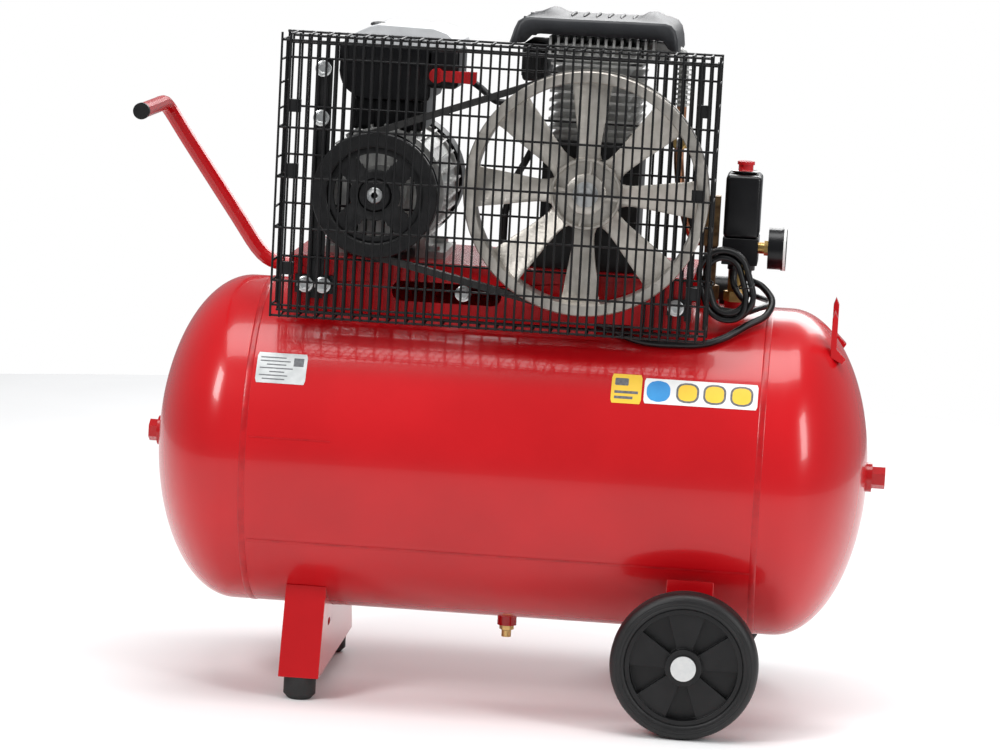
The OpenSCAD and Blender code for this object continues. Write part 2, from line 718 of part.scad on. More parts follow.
flywheel_y = [-163, -125];
spoke_count = 8;
spoke_tilt = 24;
module flywheel() {
    color(cast_grey) placed() {
        grooved_rim(crank_x, crank_z, flywheel_y[0], flywheel_y[1], flywheel_d / 2,
            flywheel_d / 2 - 17);
        ring_y(crank_x, crank_z, flywheel_y[0] + 2, -126, 24, crank_r);
        ring_y(crank_x, crank_z, -158, -150, 42, 23.7);
        translate([crank_x, -144, crank_z]) for (i = [0 : spoke_count - 1])
            rotate([0, 360 * i / spoke_count, 0]) rotate([0, 0, spoke_tilt])
                slab_y(-3.5, 3.5) polygon([[-13, 23], [13, 23], [20, flywheel_d / 2 - 19],
                    [-20, flywheel_d / 2 - 19]]);
        translate([crank_x, 0, crank_z]) for (i = [0 : spoke_count - 1])
            rotate([0, 360 * i / spoke_count, 0])
            block([-9, 9], [-152, -134], [flywheel_d / 2 - 24, flywheel_d / 2 - 16.5]);
    }
}
throw = 22;
module crankshaft() {
    color(zinc) placed() {
        rod_y(crank_x, crank_z, -161, -62, crank_r);
        rod_y(crank_x, crank_z, 44, 66, crank_r);
        rod_y(crank_x, crank_z + throw, -55, -17, 10);
        rod_y(crank_x, crank_z - throw, -5, 37, 10);
        for (y = [[-62, -55], [37, 44]]) rod_y(crank_x, crank_z, y[0], y[1], 36);
        rod_y(crank_x, crank_z, -17, -5, 36);
        ring_y(crank_x, crank_z, -165, -161, 15, 7);
        translate([crank_x, -165, crank_z]) rotate([90, 0, 0]) cylinder(r = 9.5, h = 4, $fn = 6);
        rod_y(crank_x, crank_z, -165, -161, 7);
    }
}
case_x = [crank_x - 58, crank_x + 58];
case_y = [-92, 52];
case_top = 690;
module crankcase() {
    color(cast_grey) placed() difference() {
        union() {
            slab_y(case_y[0], case_y[1]) polygon([
                [case_x[0] - 4, plate_z], [case_x[1] + 4, plate_z], [case_x[1], plate_z + 30],
                    [case_x[1], 672],
                [case_x[1] - 8, case_top], [case_x[0] + 8, case_top], [case_x[0], 672],
                    [case_x[0], plate_z + 30]
            ]);
            block([crank_x - 88, crank_x + 88], [-84, 64], [plate_z, plate_z + 10]);
            rod_y(crank_x, crank_z, -98, case_y[0], 38);
        }
        block([case_x[0] + 8, case_x[1] - 8], [case_y[0] + 16, case_y[1] + 20], [plate_z + 14, 678]);
        rod_y(crank_x, crank_z, -120, 0, crank_r + 1.5);
        rod_y(crank_x, crank_z, crank_seats[0][0], crank_seats[0][1] + 1, crank_bearing_r);
        for (y = bores_y) rod_z(crank_x, y, 670, case_top + 1, bore_r + 3);
        for (p = pump_feet) rod_z(p[0], p[1], plate_z - 1, plate_z + 11, 4);
        rod_x(20, 575, case_x[1] - 12, case_x[1] + 5, 9);
    }
}
module crankcase_cover() {
    color(cast_grey) placed() difference() {
        union() {
            slab_y(case_y[1], case_y[1] + 8)
                rounded_rect([case_x[0] + 2, case_x[1] - 2], [plate_z + 12, 686], 14);
            rod_y(crank_x, crank_z, case_y[1] + 8, case_y[1] + 22, 38);
        }
        rod_y(crank_x, crank_z, crank_seats[1][0] - 1, crank_seats[1][1], crank_bearing_r);
    }
}
bore_r = 27;
bores_y = [-45, 25];
deck_z = 785;
fin_step = 11;
module cylinder_block() {
    color("#3a3a3c") placed() difference() {
        union() {
            block([crank_x - 40, crank_x + 40], [-82, 62], [case_top, deck_z]);
            for (z = [case_top + 12 : fin_step : deck_z - 6])
                block([crank_x - 54, crank_x + 54], [-92, 72], [z, z + 3]);
            block([crank_x - 50, crank_x + 50], [-86, 66], [case_top, case_top + 6]);
        }
        for (y = bores_y) rod_z(crank_x, y, case_top - 1, deck_z + 1, bore_r);
    }
}
head_top = 812;
module cylinder_head() {
    color(pale_grey) placed() difference() {
        union() {
            block([crank_x - 60, crank_x + 60], [-88, 68], [deck_z, deck_z + 7]);
            block([crank_x - 52, crank_x + 52], [-80, 60], [deck_z + 6, head_top - 8]);
            for (i = [-6 : 7])
                block([crank_x + i * 9.5 - 1.5, crank_x + i * 9.5 + 1.5], [-86, 66],
                    [deck_z + 6, head_top]);
            block([crank_x + 48, crank_x + 84], [-50, -14], [deck_z + 2, head_top - 3]);
        }
        rod_x(cooler[1], pipe_z, crank_x + 70, crank_x + 90, pipe_r);
    }
}
module pistons() {
    color(zinc) placed() for (i = [0, 1]) {
        y = bores_y[i];
        crown = i == 0 ? 778 : 738;
        rod_z(crank_x, y, crown - 34, crown, bore_r - 0.3);
        block([crank_x - 6, crank_x + 6], [y - 8, y + 8], [i == 0 ? 676 : 674, crown - 33]);
    }
}
cover_y = [-98, 78];
cover_wall = 3;
posts_x = [crank_x - 36, crank_x + 36];
module cover_outline(inset) {
    offset(delta = -inset) polygon([
        [-27, 800], [-19, 820], [-10, 830], [13, 842], [27, 843], [40, 834], [122, 835],
        [137, 845.5], [149, 845.5], [168, 833], [176, 822], [179, 800]
    ]);
}
module filter_cover() {
    color(black) placed() {
        difference() {
            slab_y(cover_y[0], cover_y[1]) cover_outline(0);
            slab_y(cover_y[0] + cover_wall, cover_y[1] - cover_wall) cover_outline(cover_wall);
            block([21, 174], [cover_y[0] - 1, cover_y[1] + 1], [740, head_top + 1]);
            block([170, 185], [cooler[1] - 14, cooler[1] + 14], [740, head_top + 1]);
        }
        // Intake filter's box, on the side away from the cooler
        difference() {
            slab_y(-70, 50) rounded_rect([-8, 21], [756, 816], 5);
            slab_y(-66, 46) rounded_rect([-5, 18], [759, 812], 3);
        }
        for (x = posts_x, y = [-60, 40]) rod_z(x, y, head_top, 832.5, 6);
    }
}

// ---- Air line and controls ----

pipe_r = 6;
pipe_z = 801;
cooler = [184, -32];
cooler_z = [734, 786];
valve_z = [565, 626];
valve_in = 574;
valve_half = 9;
upper_route = [[168, -32, 801], [173, -32, 801], [181, -32, 798], [184, -32, 790], [184, -32, 782]];
lower_route = [
    [184, -32, 735], [184, -32, 715], [184, -32, 690], [184, -32, 670], [187, -25, 640],
        [190, -18, 620], [194, -11, 604],
    [199, -3, 586], [205, 0, 576], [211, 0, 574]
];
module delivery_pipe() {
    color("#9c6a45") placed() {
        rod_x(cooler[1], pipe_z, crank_x + 70, 170, pipe_r);
        sweep(smooth(upper_route, 3), pipe_r, 12);
        rod_z(cooler[0], cooler[1], cooler_z[0], cooler_z[1], pipe_r);
        for (z = [cooler_z[0] + 2 : 6 : cooler_z[1] - 4]) rod_z(cooler[0], cooler[1], z, z + 2, 13);
        sweep(smooth(lower_route, 3), pipe_r, 12);
        rod_x(0, valve_in, 209, check_port[0] - valve_half, pipe_r);
    }
}
switch_y = -22;
module brass_fittings() {
    color(brass) placed() {
        // Check valve, with the nut that holds the delivery pipe in its side
        difference() {
            union() {
                rod_z(check_port[0], 0, tank_z + tank_r - 8, tank_z + check_port[1], port_r);
                translate([check_port[0], 0, tank_z + check_port[1]]) cylinder(r = 13, h = 18, $fn = 6);
                rod_z(check_port[0], 0, tank_z + check_port[1] + 18, valve_z[0], 8);
                block([check_port[0] - valve_half, check_port[0] + valve_half],
                    [-valve_half, valve_half], valve_z);
            }
            rod_z(check_port[0], 0, tank_z + tank_r - 10, valve_z[0] + 20, 5);
        }
        translate([check_port[0] - valve_half - 7, 0, valve_in]) rotate([0, 90, 0]) difference() {
            cylinder(r = 10, h = 7, $fn = 6);
            translate([0, 0, -1]) cylinder(r = pipe_r, h = 9);
        }
        // Riser that carries the pressure switch
        difference() {
            union() {
                rod_z(manifold_port[0], 0, tank_z + tank_r - 8, tank_z + manifold_port[1], port_r);
                translate([manifold_port[0], 0, tank_z + manifold_port[1]])
                    cylinder(r = 15, h = 12, $fn = 6);
                rod_z(manifold_port[0], 0, tank_z + manifold_port[1] + 12, 548, 11);
            }
            rod_z(manifold_port[0], 0, tank_z + tank_r - 10, 549, 5);
        }
        // Elbow to the gauge
        rod_x(switch_y, gauge_z, 286, 293, 7);
        translate([293, switch_y, gauge_z]) rotate([0, 90, 0]) cylinder(r = 9, h = 5, $fn = 6);
    }
}
glands = [[258, -30], [276, -30]];
module pressure_switch() {
    color(black) placed() difference() {
        union() {
            block([243, 286], [-46, 22], [548, 580]);
            for (g = glands) rod_z(g[0], g[1], 541, 549, 7.5);
        }
        block([247, 282], [-42, 18], [560, 581]);
        rod_z(glands[0][0], glands[0][1], 540, 561, mains_r);
        rod_z(glands[1][0], glands[1][1], 540, 561, cable_r);
    }
}
knob_x = 265;
knob_y = -12;
module switch_cover() {
    color(black) placed() difference() {
        slab_y(-44, 20) polygon([
            [242, 580], [286.5, 580], [286.5, 650], [283, 656], [248, 656], [244, 650]
        ]);
        slab_y(-41, 17) polygon([[245, 579], [283.5, 579], [283.5, 653], [247, 653]]);
        rod_z(knob_x, knob_y, 650, 660, 9.35);
    }
}
module switch_knob() {
    color(red) placed() {
        rod_z(knob_x, knob_y, 640, 667, 9);
        rod_z(knob_x, knob_y, 667, 671, 10.5);
    }
}
// Safety valve on the delivery pipe: clamp collar, body, and a stem with a ring to pull
safety_z = 693;
module safety_valve() {
    color(brass) placed() difference() {
        union() {
            rod_z(cooler[0], cooler[1], safety_z - 9, safety_z + 9, 10);
            rod_y(cooler[0], safety_z, -62, cooler[1], 7);
            translate([cooler[0], -48, safety_z]) rotate([90, 0, 0]) cylinder(r = 9, h = 6, $fn = 6);
        }
        rod_z(cooler[0], cooler[1], safety_z - 10, safety_z + 10, pipe_r + 0.3);
        rod_y(cooler[0], safety_z, -63, -46, 2.05);
    }
}
module safety_ring() {
    color(zinc) placed() {
        rod_y(cooler[0], safety_z, -70, -50, 2);
        translate([cooler[0], -77, safety_z]) rotate([0, 90, 0]) difference() {
            translate([0, 0, -1.5]) cylinder(r = 9, h = 3);
            translate([0, 0, -2]) cylinder(r = 6, h = 4);
        }
    }
}
gauge_z = 568;
gauge_r = 26;
module gauge_case() {
    color(black) placed() difference() {
        union() {
            rod_x(switch_y, gauge_z, 298, 316, gauge_r - 1);
            rod_x(switch_y, gauge_z, 314, 320, gauge_r);
        }
        rod_x(switch_y, gauge_z, 304, 321, gauge_r - 3);
    }
}
module gauge_lens() {
    color("#e8eef0") placed() {
        rod_x(switch_y, gauge_z, 317.5, 319.5, gauge_r - 3);
        difference() {
            rod_x(switch_y, gauge_z, 306, 308, gauge_r - 3);
            rod_x(switch_y, gauge_z, 305, 309, 2);
        }
    }
}
module gauge_needle() {
    color(black) placed() {
        rod_x(switch_y, gauge_z, 304.5, 312, 1.6);
        translate([0, switch_y, gauge_z]) rotate([135, 0, 0]) block([310, 311.2], [-1, 1], [-6, 18]);
    }
}

// ---- Cables ----

motor_cable_route = [
    lead_start, [-80, -44, 752], [-74, -44, 752], [-58, -48, 743], [-38, -56, 729],
        [-12, -60, 727], [10, -64, 716],
    [16, -66, 694], [4, -65, 664], [-12, -63, 632], [-19, -62, 600], [-20, -62, 565], [-20, -62, 535],
    [-12, -64, 515], [12, -72, 503], [48, -84, 489], [86, -95, 477], [112, -102, 470], [128, -110, 465],
    [144, -118, 460], [166, -123, 457], [196, -124, 457], [228, -121, 459], [254, -110, 467],
    [280, -88, 481], [301, -70, 492], [307, -52, 508], [294, -38, 523], [279, -31, 529],
        [276, -30, 536],
    [276, -30, 541], [276, -30, 546]
];
mains_route = [
    [258, -30, 546], [258, -30, 541], [258, -30, 536], [259, -33, 525], [265, -42, 514],
        [274, -54, 506],
    [281, -68, 502], [283, -80, 504], [282, -88, 510]
];
tail_route = [
    [262, -82, 493], [274, -72, 494], [290, -52, 497], [301, -28, 499], [304, 0, 500], [301, 24, 499],
    [292, 46, 499], [279, 59, 501], [268, 64, 503], [262, 65, 503]
];
// Hank of the mains lead: two round ends, one above the other, tied together
hank_y = [-104, -82];
hank_ends = [[248, 541], [256, 516]];
hank_outer = 32.5;
hank_inner = 17;
plug_at = 12;
module motor_cable() { color(black) placed() sweep(smooth(motor_cable_route, 2), cable_r, 8); }
module mains_cable() {
    color(black) placed() {
        sweep(smooth(mains_route, 2), mains_r, 8);
        sweep(smooth(tail_route, 2), mains_r, 8);
    }
}
module hank_outline(r) { hull() for (p = hank_ends) translate(p) circle(r, $fn = 32); }
module mains_hank() {
    color(black) placed() slab_y(hank_y[0], hank_y[1]) difference() {
        hank_outline(hank_outer);
        hank_outline(hank_inner);
    }
}
// The plug lies on the tank behind the fittings, pointing along the machine
module mains_plug() {
    color(black) placed() translate([0, 0, tank_z]) rotate([-14, 0, 0])
        translate([0, 0, tank_r + 19.5]) {
        rod_x(plug_at, 0, 222, 252, 18);
        rod_x(plug_at, 0, 252, 264, 9);
        for (y = [-9.5, 9.5]) rod_x(plug_at + y, 0, 204, 222, 2.4);
    }
}

tank_barrel();
tank_head_left();
tank_head_right();
tank_bosses();
tank_plugs();
drain_body();
drain_screw();
base_plate();
foot_bracket();
rubber_feet();
wheel_bracket();
stub_axles();
wheel_front();
wheel_rear();
tyre_front();
tyre_rear();
handle_tube();
handle_grips();
cable_hooks();
guard_front_panel();
guard_rear_panel();
guard_rim();
guard_clips();
guard_struts();
fixing_bolts();
drive_belt();
motor_pulley();
rotor();
cooling_fan();
stator();
motor_housing();
end_shields();
fan_cowl();
bearings();
terminal_box();
terminal_box_lid();
capacitors();
isolator_lever();
flywheel();
crankshaft();
crankcase();
crankcase_cover();
cylinder_block();
cylinder_head();
filter_cover();
pistons();
delivery_pipe();
brass_fittings();
pressure_switch();
switch_cover();
switch_knob();
safety_valve();
safety_ring();
gauge_case();
gauge_lens();
gauge_needle();
motor_cable();
mains_cable();
mains_hank();
mains_plug();
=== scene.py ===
import math
import bmesh
import bpy
from mathutils import Matrix, Vector


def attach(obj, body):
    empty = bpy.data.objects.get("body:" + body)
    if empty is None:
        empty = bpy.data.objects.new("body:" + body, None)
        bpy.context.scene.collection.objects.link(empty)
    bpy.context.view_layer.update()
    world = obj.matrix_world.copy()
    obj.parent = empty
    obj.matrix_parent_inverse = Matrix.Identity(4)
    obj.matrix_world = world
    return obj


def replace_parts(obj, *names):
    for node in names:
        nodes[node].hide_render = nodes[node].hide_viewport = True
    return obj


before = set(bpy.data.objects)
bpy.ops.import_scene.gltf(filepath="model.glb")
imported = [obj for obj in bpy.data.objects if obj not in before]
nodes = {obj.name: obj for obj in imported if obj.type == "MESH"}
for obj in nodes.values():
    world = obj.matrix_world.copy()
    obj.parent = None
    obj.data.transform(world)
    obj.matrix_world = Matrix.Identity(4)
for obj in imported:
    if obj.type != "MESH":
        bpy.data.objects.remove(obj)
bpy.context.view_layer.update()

# ---- Frame helpers ----

SHIFT_X = 8.05  # the tank's middle stands this far (mm) from the frame's origin
TANK_Z = 293.0
TANK_R = 200.0


def P(x, y, z):
    """A point given in millimetres from the tank's middle, on the floor."""
    return Vector(((x + SHIFT_X) / 1000, y / 1000, z / 1000))


def on_tank(x, angle, proud=0.0):
    """A point on the tank's front, angle degrees above its axis."""
    a = math.radians(angle)
    r = TANK_R + proud
    return P(x, -r * math.cos(a), TANK_Z + r * math.sin(a))


# ---- Camera ----

CAMERA_AT = P(387.1, -4834.9, 1074.2)
SENSOR_MM, LENS_MM = 36.0, 143.69
CLIP_END = 60  # m
YAW, PITCH, ROLL = math.radians(4.822), math.radians(8.034), math.radians(3.045)
fwd = Vector((-math.sin(YAW) * math.cos(PITCH), math.cos(YAW) * math.cos(PITCH), -math.sin(PITCH)))
flat_right = Vector((math.cos(YAW), math.sin(YAW), 0))
flat_up = flat_right.cross(fwd)
right = flat_right * math.cos(ROLL) + flat_up * math.sin(ROLL)
up = -flat_right * math.sin(ROLL) + flat_up * math.cos(ROLL)
cam_data = bpy.data.cameras.new("camera")
cam_data.sensor_width = SENSOR_MM
cam_data.lens = LENS_MM
cam_data.clip_end = CLIP_END
cam = bpy.data.objects.new("camera", cam_data)
cam.matrix_world = Matrix((
    (right.x, up.x, -fwd.x, CAMERA_AT.x),
    (right.y, up.y, -fwd.y, CAMERA_AT.y),
    (right.z, up.z, -fwd.z, CAMERA_AT.z),
    (0, 0, 0, 1),
))
bpy.context.scene.collection.objects.link(cam)
bpy.context.scene.camera = cam

# ---- Materials ----

MIX_FROM, MIX_TO = 0.35, 0.65  # the noise values between which the two colours mix
RELIEF_DEPTH = 0.001  # m


def material(name, light, dark, scale, rough, bump=0.0, bump_scale=1.0, metallic=0.0, coat=0.0,
             coat_rough=0.05, detail=4.0, spec=0.5):
    """Principled material: two near colours mixed by noise, uneven roughness and fine relief."""
    m = bpy.data.materials.new(name)
    m.use_nodes = True
    t = m.node_tree
    t.nodes.clear()
    out = t.nodes.new("ShaderNodeOutputMaterial")
    bsdf = t.nodes.new("ShaderNodeBsdfPrincipled")
    t.links.new(bsdf.outputs[0], out.inputs[0])
    coord = t.nodes.new("ShaderNodeTexCoord")
    n = t.nodes.new("ShaderNodeTexNoise")
    n.inputs["Scale"].default_value = scale
    n.inputs["Detail"].default_value = detail
    t.links.new(coord.outputs["Object"], n.inputs["Vector"])
    ramp = t.nodes.new("ShaderNodeValToRGB")
    ramp.color_ramp.elements[0].position = MIX_FROM
    ramp.color_ramp.elements[1].position = MIX_TO
    ramp.color_ramp.elements[0].color = (*dark, 1)
    ramp.color_ramp.elements[1].color = (*light, 1)
    t.links.new(n.outputs[0], ramp.inputs[0])
    t.links.new(ramp.outputs[0], bsdf.inputs["Base Color"])
    spread = t.nodes.new("ShaderNodeMapRange")
    spread.inputs["To Min"].default_value = rough[0]
    spread.inputs["To Max"].default_value = rough[1]
    t.links.new(n.outputs[0], spread.inputs[0])
    t.links.new(spread.outputs[0], bsdf.inputs["Roughness"])
    bsdf.inputs["Metallic"].default_value = metallic
    bsdf.inputs["Specular IOR Level"].default_value = spec
    bsdf.inputs["Coat Weight"].default_value = coat
    bsdf.inputs["Coat Roughness"].default_value = coat_rough
    if bump:
        fine = t.nodes.new("ShaderNodeTexNoise")
        fine.inputs["Scale"].default_value = bump_scale
        fine.inputs["Detail"].default_value = 3
        t.links.new(coord.outputs["Object"], fine.inputs["Vector"])
        b = t.nodes.new("ShaderNodeBump")
        b.inputs["Strength"].default_value = bump
        b.inputs["Distance"].default_value = RELIEF_DEPTH
        t.links.new(fine.outputs[0], b.inputs["Height"])
        t.links.new(b.outputs[0], bsdf.inputs["Normal"])
    return m


# Name: lighter colour, darker colour, noise scale, roughness range, relief, relief scale, the rest
LOOKS = {
    "red_paint": ((0.54, 0.004, 0.008), (0.46, 0.003, 0.006), 5, (0.2, 0.28), 0.03, 45,
                  {"coat": 0.3, "coat_rough": 0.04, "spec": 0.35}),
    "weld_paint": ((0.5, 0.004, 0.008), (0.38, 0.003, 0.006), 60, (0.26, 0.36), 0.25, 260,
                   {"coat": 0.2, "coat_rough": 0.1, "spec": 0.35}),
    "black_wire": ((0.0045, 0.0045, 0.005), (0.002, 0.002, 0.0025), 60, (0.34, 0.46), 0.2, 700,
                   {"spec": 0.32}),
    "black_plastic": ((0.0065, 0.0065, 0.007), (0.003, 0.003, 0.0035), 40, (0.34, 0.46), 0.25, 900,
                      {"spec": 0.35}),
    "gloss_black": ((0.006, 0.006, 0.007), (0.003, 0.003, 0.004), 30, (0.26, 0.34), 0.15, 600,
                    {"spec": 0.35}),
    "shroud_black": ((0.022, 0.023, 0.026), (0.015, 0.016, 0.019), 26, (0.4, 0.52), 0.3, 800,
                     {"spec": 0.45}),
    "tyre_rubber": ((0.009, 0.009, 0.0095), (0.004, 0.004, 0.0045), 35, (0.38, 0.56), 0.3, 800,
                    {"spec": 0.4}),
    "foot_rubber": ((0.018, 0.018, 0.018), (0.01, 0.01, 0.01), 50, (0.6, 0.8), 0.5, 700, {}),
    "zinc_steel": ((0.72, 0.73, 0.72), (0.64, 0.66, 0.66), 120, (0.26, 0.36), 0.1, 900,
                   {"metallic": 1.0}),
    "bare_steel": ((0.56, 0.56, 0.55), (0.38, 0.38, 0.38), 90, (0.25, 0.42), 0.2, 600,
                   {"metallic": 1.0}),
    "brass": ((0.72, 0.5, 0.2), (0.5, 0.32, 0.11), 80, (0.24, 0.42), 0.2, 500, {"metallic": 1.0}),
    "bronze": ((0.3, 0.2, 0.1), (0.14, 0.09, 0.05), 110, (0.35, 0.55), 0.3, 500, {"metallic": 1.0}),
    "copper": ((0.72, 0.36, 0.2), (0.42, 0.19, 0.1), 60, (0.24, 0.42), 0.15, 500,
               {"metallic": 1.0}),
    "black_iron": ((0.009, 0.009, 0.0095), (0.004, 0.004, 0.0045), 70, (0.32, 0.5), 0.45, 380,
                   {"spec": 0.4}),
    "grey_iron": ((0.6, 0.565, 0.515), (0.46, 0.43, 0.385), 55, (0.3, 0.44), 0.4, 420,
                  {"metallic": 0.7, "detail": 8}),
    "grey_alloy": ((0.58, 0.58, 0.56), (0.38, 0.38, 0.37), 70, (0.34, 0.5), 0.5, 460,
                   {"metallic": 0.5, "detail": 8}),
    "pale_plastic": ((0.6, 0.61, 0.62), (0.5, 0.51, 0.52), 30, (0.32, 0.44), 0.25, 800, {}),
    "red_plastic": ((0.62, 0.008, 0.012), (0.5, 0.005, 0.008), 60, (0.2, 0.3), 0.15, 700,
                    {"coat": 0.3}),
    "cable_sheath": ((0.006, 0.006, 0.0065), (0.003, 0.003, 0.0035), 90, (0.3, 0.42), 0.2, 600,
                     {"spec": 0.4}),
    "belt_rubber": ((0.022, 0.021, 0.02), (0.01, 0.01, 0.01), 90, (0.55, 0.75), 0.6, 900, {}),
    "label_silver": ((0.62, 0.63, 0.63), (0.48, 0.5, 0.5), 50, (0.3, 0.42), 0.1, 400,
                     {"metallic": 0.3}),
    "label_line": ((0.16, 0.17, 0.18), (0.1, 0.1, 0.11), 300, (0.4, 0.5), 0.1, 400, {}),
    "label_yellow": ((0.9, 0.58, 0.05), (0.84, 0.52, 0.04), 30, (0.35, 0.45), 0.1, 400, {}),
    "label_white": ((0.86, 0.86, 0.85), (0.78, 0.78, 0.77), 30, (0.35, 0.45), 0.1, 400, {}),
    "label_blue": ((0.04, 0.3, 0.66), (0.03, 0.25, 0.6), 40, (0.35, 0.45), 0.1, 400, {}),
    "dial_white": ((0.9, 0.9, 0.88), (0.84, 0.84, 0.82), 40, (0.35, 0.45), 0.05, 400, {}),
    # Near-black painted shade that stands for the shadow inside the lid's recess.
    "dark_recess": ((0.006, 0.006, 0.007), (0.003, 0.003, 0.004), 40, (0.5, 0.7), 0.1, 400, {}),
}
M = {name: material(name, *look[:-1], **look[-1]) for name, look in LOOKS.items()}


def glass(name):
    """Clear window with a slightly uneven polish."""
    m = bpy.data.materials.new(name)
    m.use_nodes = True
    b = m.node_tree.nodes["Principled BSDF"]
    n = m.node_tree.nodes.new("ShaderNodeTexNoise")
    n.inputs["Scale"].default_value = 90
    r = m.node_tree.nodes.new("ShaderNodeMapRange")
    r.inputs["To Min"].default_value = 0.03
    r.inputs["To Max"].default_value = 0.09
    m.node_tree.links.new(n.outputs[0], r.inputs[0])
    m.node_tree.links.new(r.outputs[0], b.inputs["Roughness"])
    b.inputs["Base Color"].default_value = (0.95, 0.97, 0.98, 1)
    b.inputs["Alpha"].default_value = 0.18
    b.inputs["IOR"].default_value = 1.49
    return m


M["lens"] = glass("lens")

# The material of each CAD node that stays visible
FINISH = {
    "red_paint": ["tank_bosses", "tank_plugs", "base_plate", "foot_bracket", "wheel_bracket",
                  "handle_tube", "cable_hooks"],
    "black_plastic": ["guard_clips", "fan_cowl", "handle_grips", "wheel_front", "wheel_rear",
                      "cooling_fan", "capacitors", "mains_plug"],
    "gloss_black": ["pressure_switch", "gauge_case", "gauge_needle"],
    "foot_rubber": ["rubber_feet"],
    "zinc_steel": ["crankshaft", "fixing_bolts", "stub_axles"],
    "bare_steel": ["rotor", "bearings", "pistons", "safety_ring"],
    "brass": ["brass_fittings", "safety_valve", "drain_body", "drain_screw"],
    "copper": ["delivery_pipe"],
    "black_iron": ["guard_struts", "crankcase", "crankcase_cover", "stator"],
    "grey_alloy": ["motor_housing", "end_shields", "cylinder_block", "cylinder_head"],
    "pale_plastic": ["terminal_box_lid"],
    "red_plastic": ["isolator_lever", "switch_knob"],
    "belt_rubber": ["drive_belt"],
    "lens": ["gauge_lens"],
}
for key, names in FINISH.items():
    for name in names:
        nodes[name].data.materials.clear()
        nodes[name].data.materials.append(M[key])

# ---- Making pieces ----


def add(name, bm, key, body="frame", angle=40):
    """bm becomes a piece that rides on a body; edges sharper than angle (degrees) stay sharp."""
    bmesh.ops.recalc_face_normals(bm, faces=bm.faces)
    me = bpy.data.meshes.new(name)
    bm.to_mesh(me)
    bm.free()
    o = bpy.data.objects.new(name, me)
    bpy.context.scene.collection.objects.link(o)
    for k in key if isinstance(key, (list, tuple)) else [key]:
        me.materials.append(M[k])
    me.shade_smooth()
    me.set_sharp_from_angle(angle=math.radians(angle))
    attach(o, body)
    return o


def catmull(points, steps):
    """A smooth line through the points, drawn as the CAD draws its cable routes."""
    p = [Vector(q) for q in points]
    p = [p[0] * 2 - p[1]] + p + [p[-1] * 2 - p[-2]]
    out = []
    for i in range(1, len(p) - 2):
        for k in range(steps):
            t = k / steps
            a, b, c, d = p[i - 1], p[i], p[i + 1], p[i + 2]
            out.append(0.5 * (2 * b + (c - a) * t + (2 * a - 5 * b + 4 * c - d) * t * t
                              + (3 * b - a - 3 * c + d) * t ** 3))
    out.append(p[-2])
    return out


def cord_curve(name, line, diameter, key):
    cu = bpy.data.curves.new(name, "CURVE")
    cu.dimensions = "3D"
    s = cu.splines.new("POLY")
    s.points.add(len(line) - 1)
    for q, v in zip(s.points, line):
        q.co = (v.x, v.y, v.z, 1)
    s.use_smooth = True
    cu.bevel_depth = diameter / 2
    cu.bevel_resolution = 4
    cu.use_fill_caps = True
    cu.materials.append(M[key])
    o = bpy.data.objects.new(name, cu)
    bpy.context.scene.collection.objects.link(o)
    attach(o, "frame")
    return o


def tube(bm, line, radii, sides=16, close=True):
    """Skin of round sections along a line; radii is one number or one for each point."""
    n = len(line)
    radii = [radii] * n if isinstance(radii, (int, float)) else radii
    ref = None
    rings = []
    for i, c in enumerate(line):
        d = (line[min(i + 1, n - 1)] - line[max(i - 1, 0)]).normalized()
        if ref is None:
            ref = d.orthogonal().normalized()
        ref = (ref - d * ref.dot(d)).normalized()
        side = d.cross(ref)
        rings.append([bm.verts.new(c + (ref * math.cos(2 * math.pi * k / sides)
                                        + side * math.sin(2 * math.pi * k / sides)) * radii[i])
                      for k in range(sides)])
    for a, b in zip(rings, rings[1:]):
        for k in range(sides):
            bm.faces.new((a[k], a[(k + 1) % sides], b[(k + 1) % sides], b[k]))
    if close:
        bm.faces.new(rings[0])
        bm.faces.new(rings[-1])


def lathe(bm, profile, centre, axis, sides):
    """Turned shape: profile holds (radius, distance along the axis) in mm."""
    rings = []
    for r, h in profile:
        ring = []
        for k in range(sides):
            a = 2 * math.pi * k / sides
            u, v = r * math.cos(a), r * math.sin(a)
            off = {"y": (u, h, v), "x": (h, u, v), "z": (u, v, h)}[axis]
            ring.append(bm.verts.new(centre + Vector(off) / 1000))
        rings.append(ring)
    for a, b in zip(rings, rings[1:]):
        for k in range(sides):
            bm.faces.new((a[k], a[(k + 1) % sides], b[(k + 1) % sides], b[k]))


def rounded_box(bm, lo, hi, radius, segments=4):
    """A box between two corners, every edge rounded by radius (m)."""
    made = bmesh.ops.create_cube(bm, size=1)["verts"]
    for v in made:
        v.co = Vector([lo[i] + (hi[i] - lo[i]) * (v.co[i] + 0.5) for i in range(3)])
    edges = [e for e in bm.edges if e.verts[0] in made]
    bmesh.ops.bevel(bm, geom=edges, offset=radius, segments=segments, affect="EDGES", profile=0.5)


# ---- Cords ----

CABLE_D, MAINS_D = 0.0084, 0.007
MOTOR_ROUTE = [
    (-86, -44, 752), (-80, -44, 752), (-74, -44, 752), (-58, -48, 743), (-38, -56, 729),
    (-12, -60, 727), (10, -64, 716), (16, -66, 694), (4, -65, 664), (-12, -63, 632),
    (-19, -62, 600), (-20, -62, 565), (-20, -62, 535), (-12, -64, 515), (12, -72, 503),
    (48, -84, 489), (86, -95, 477), (112, -102, 470), (128, -110, 465), (144, -118, 460),
    (166, -123, 457), (196, -124, 457), (228, -121, 459), (254, -110, 467), (280, -88, 481),
    (301, -70, 492), (307, -52, 508), (294, -38, 523), (279, -31, 529), (276, -30, 536),
    (276, -30, 541), (276, -30, 546)]
motor_line = catmull([P(*q) for q in MOTOR_ROUTE], 6)
motor_cord = cord_curve("motor_cord", motor_line, CABLE_D, "cable_sheath")
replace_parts(motor_cord, "motor_cable")

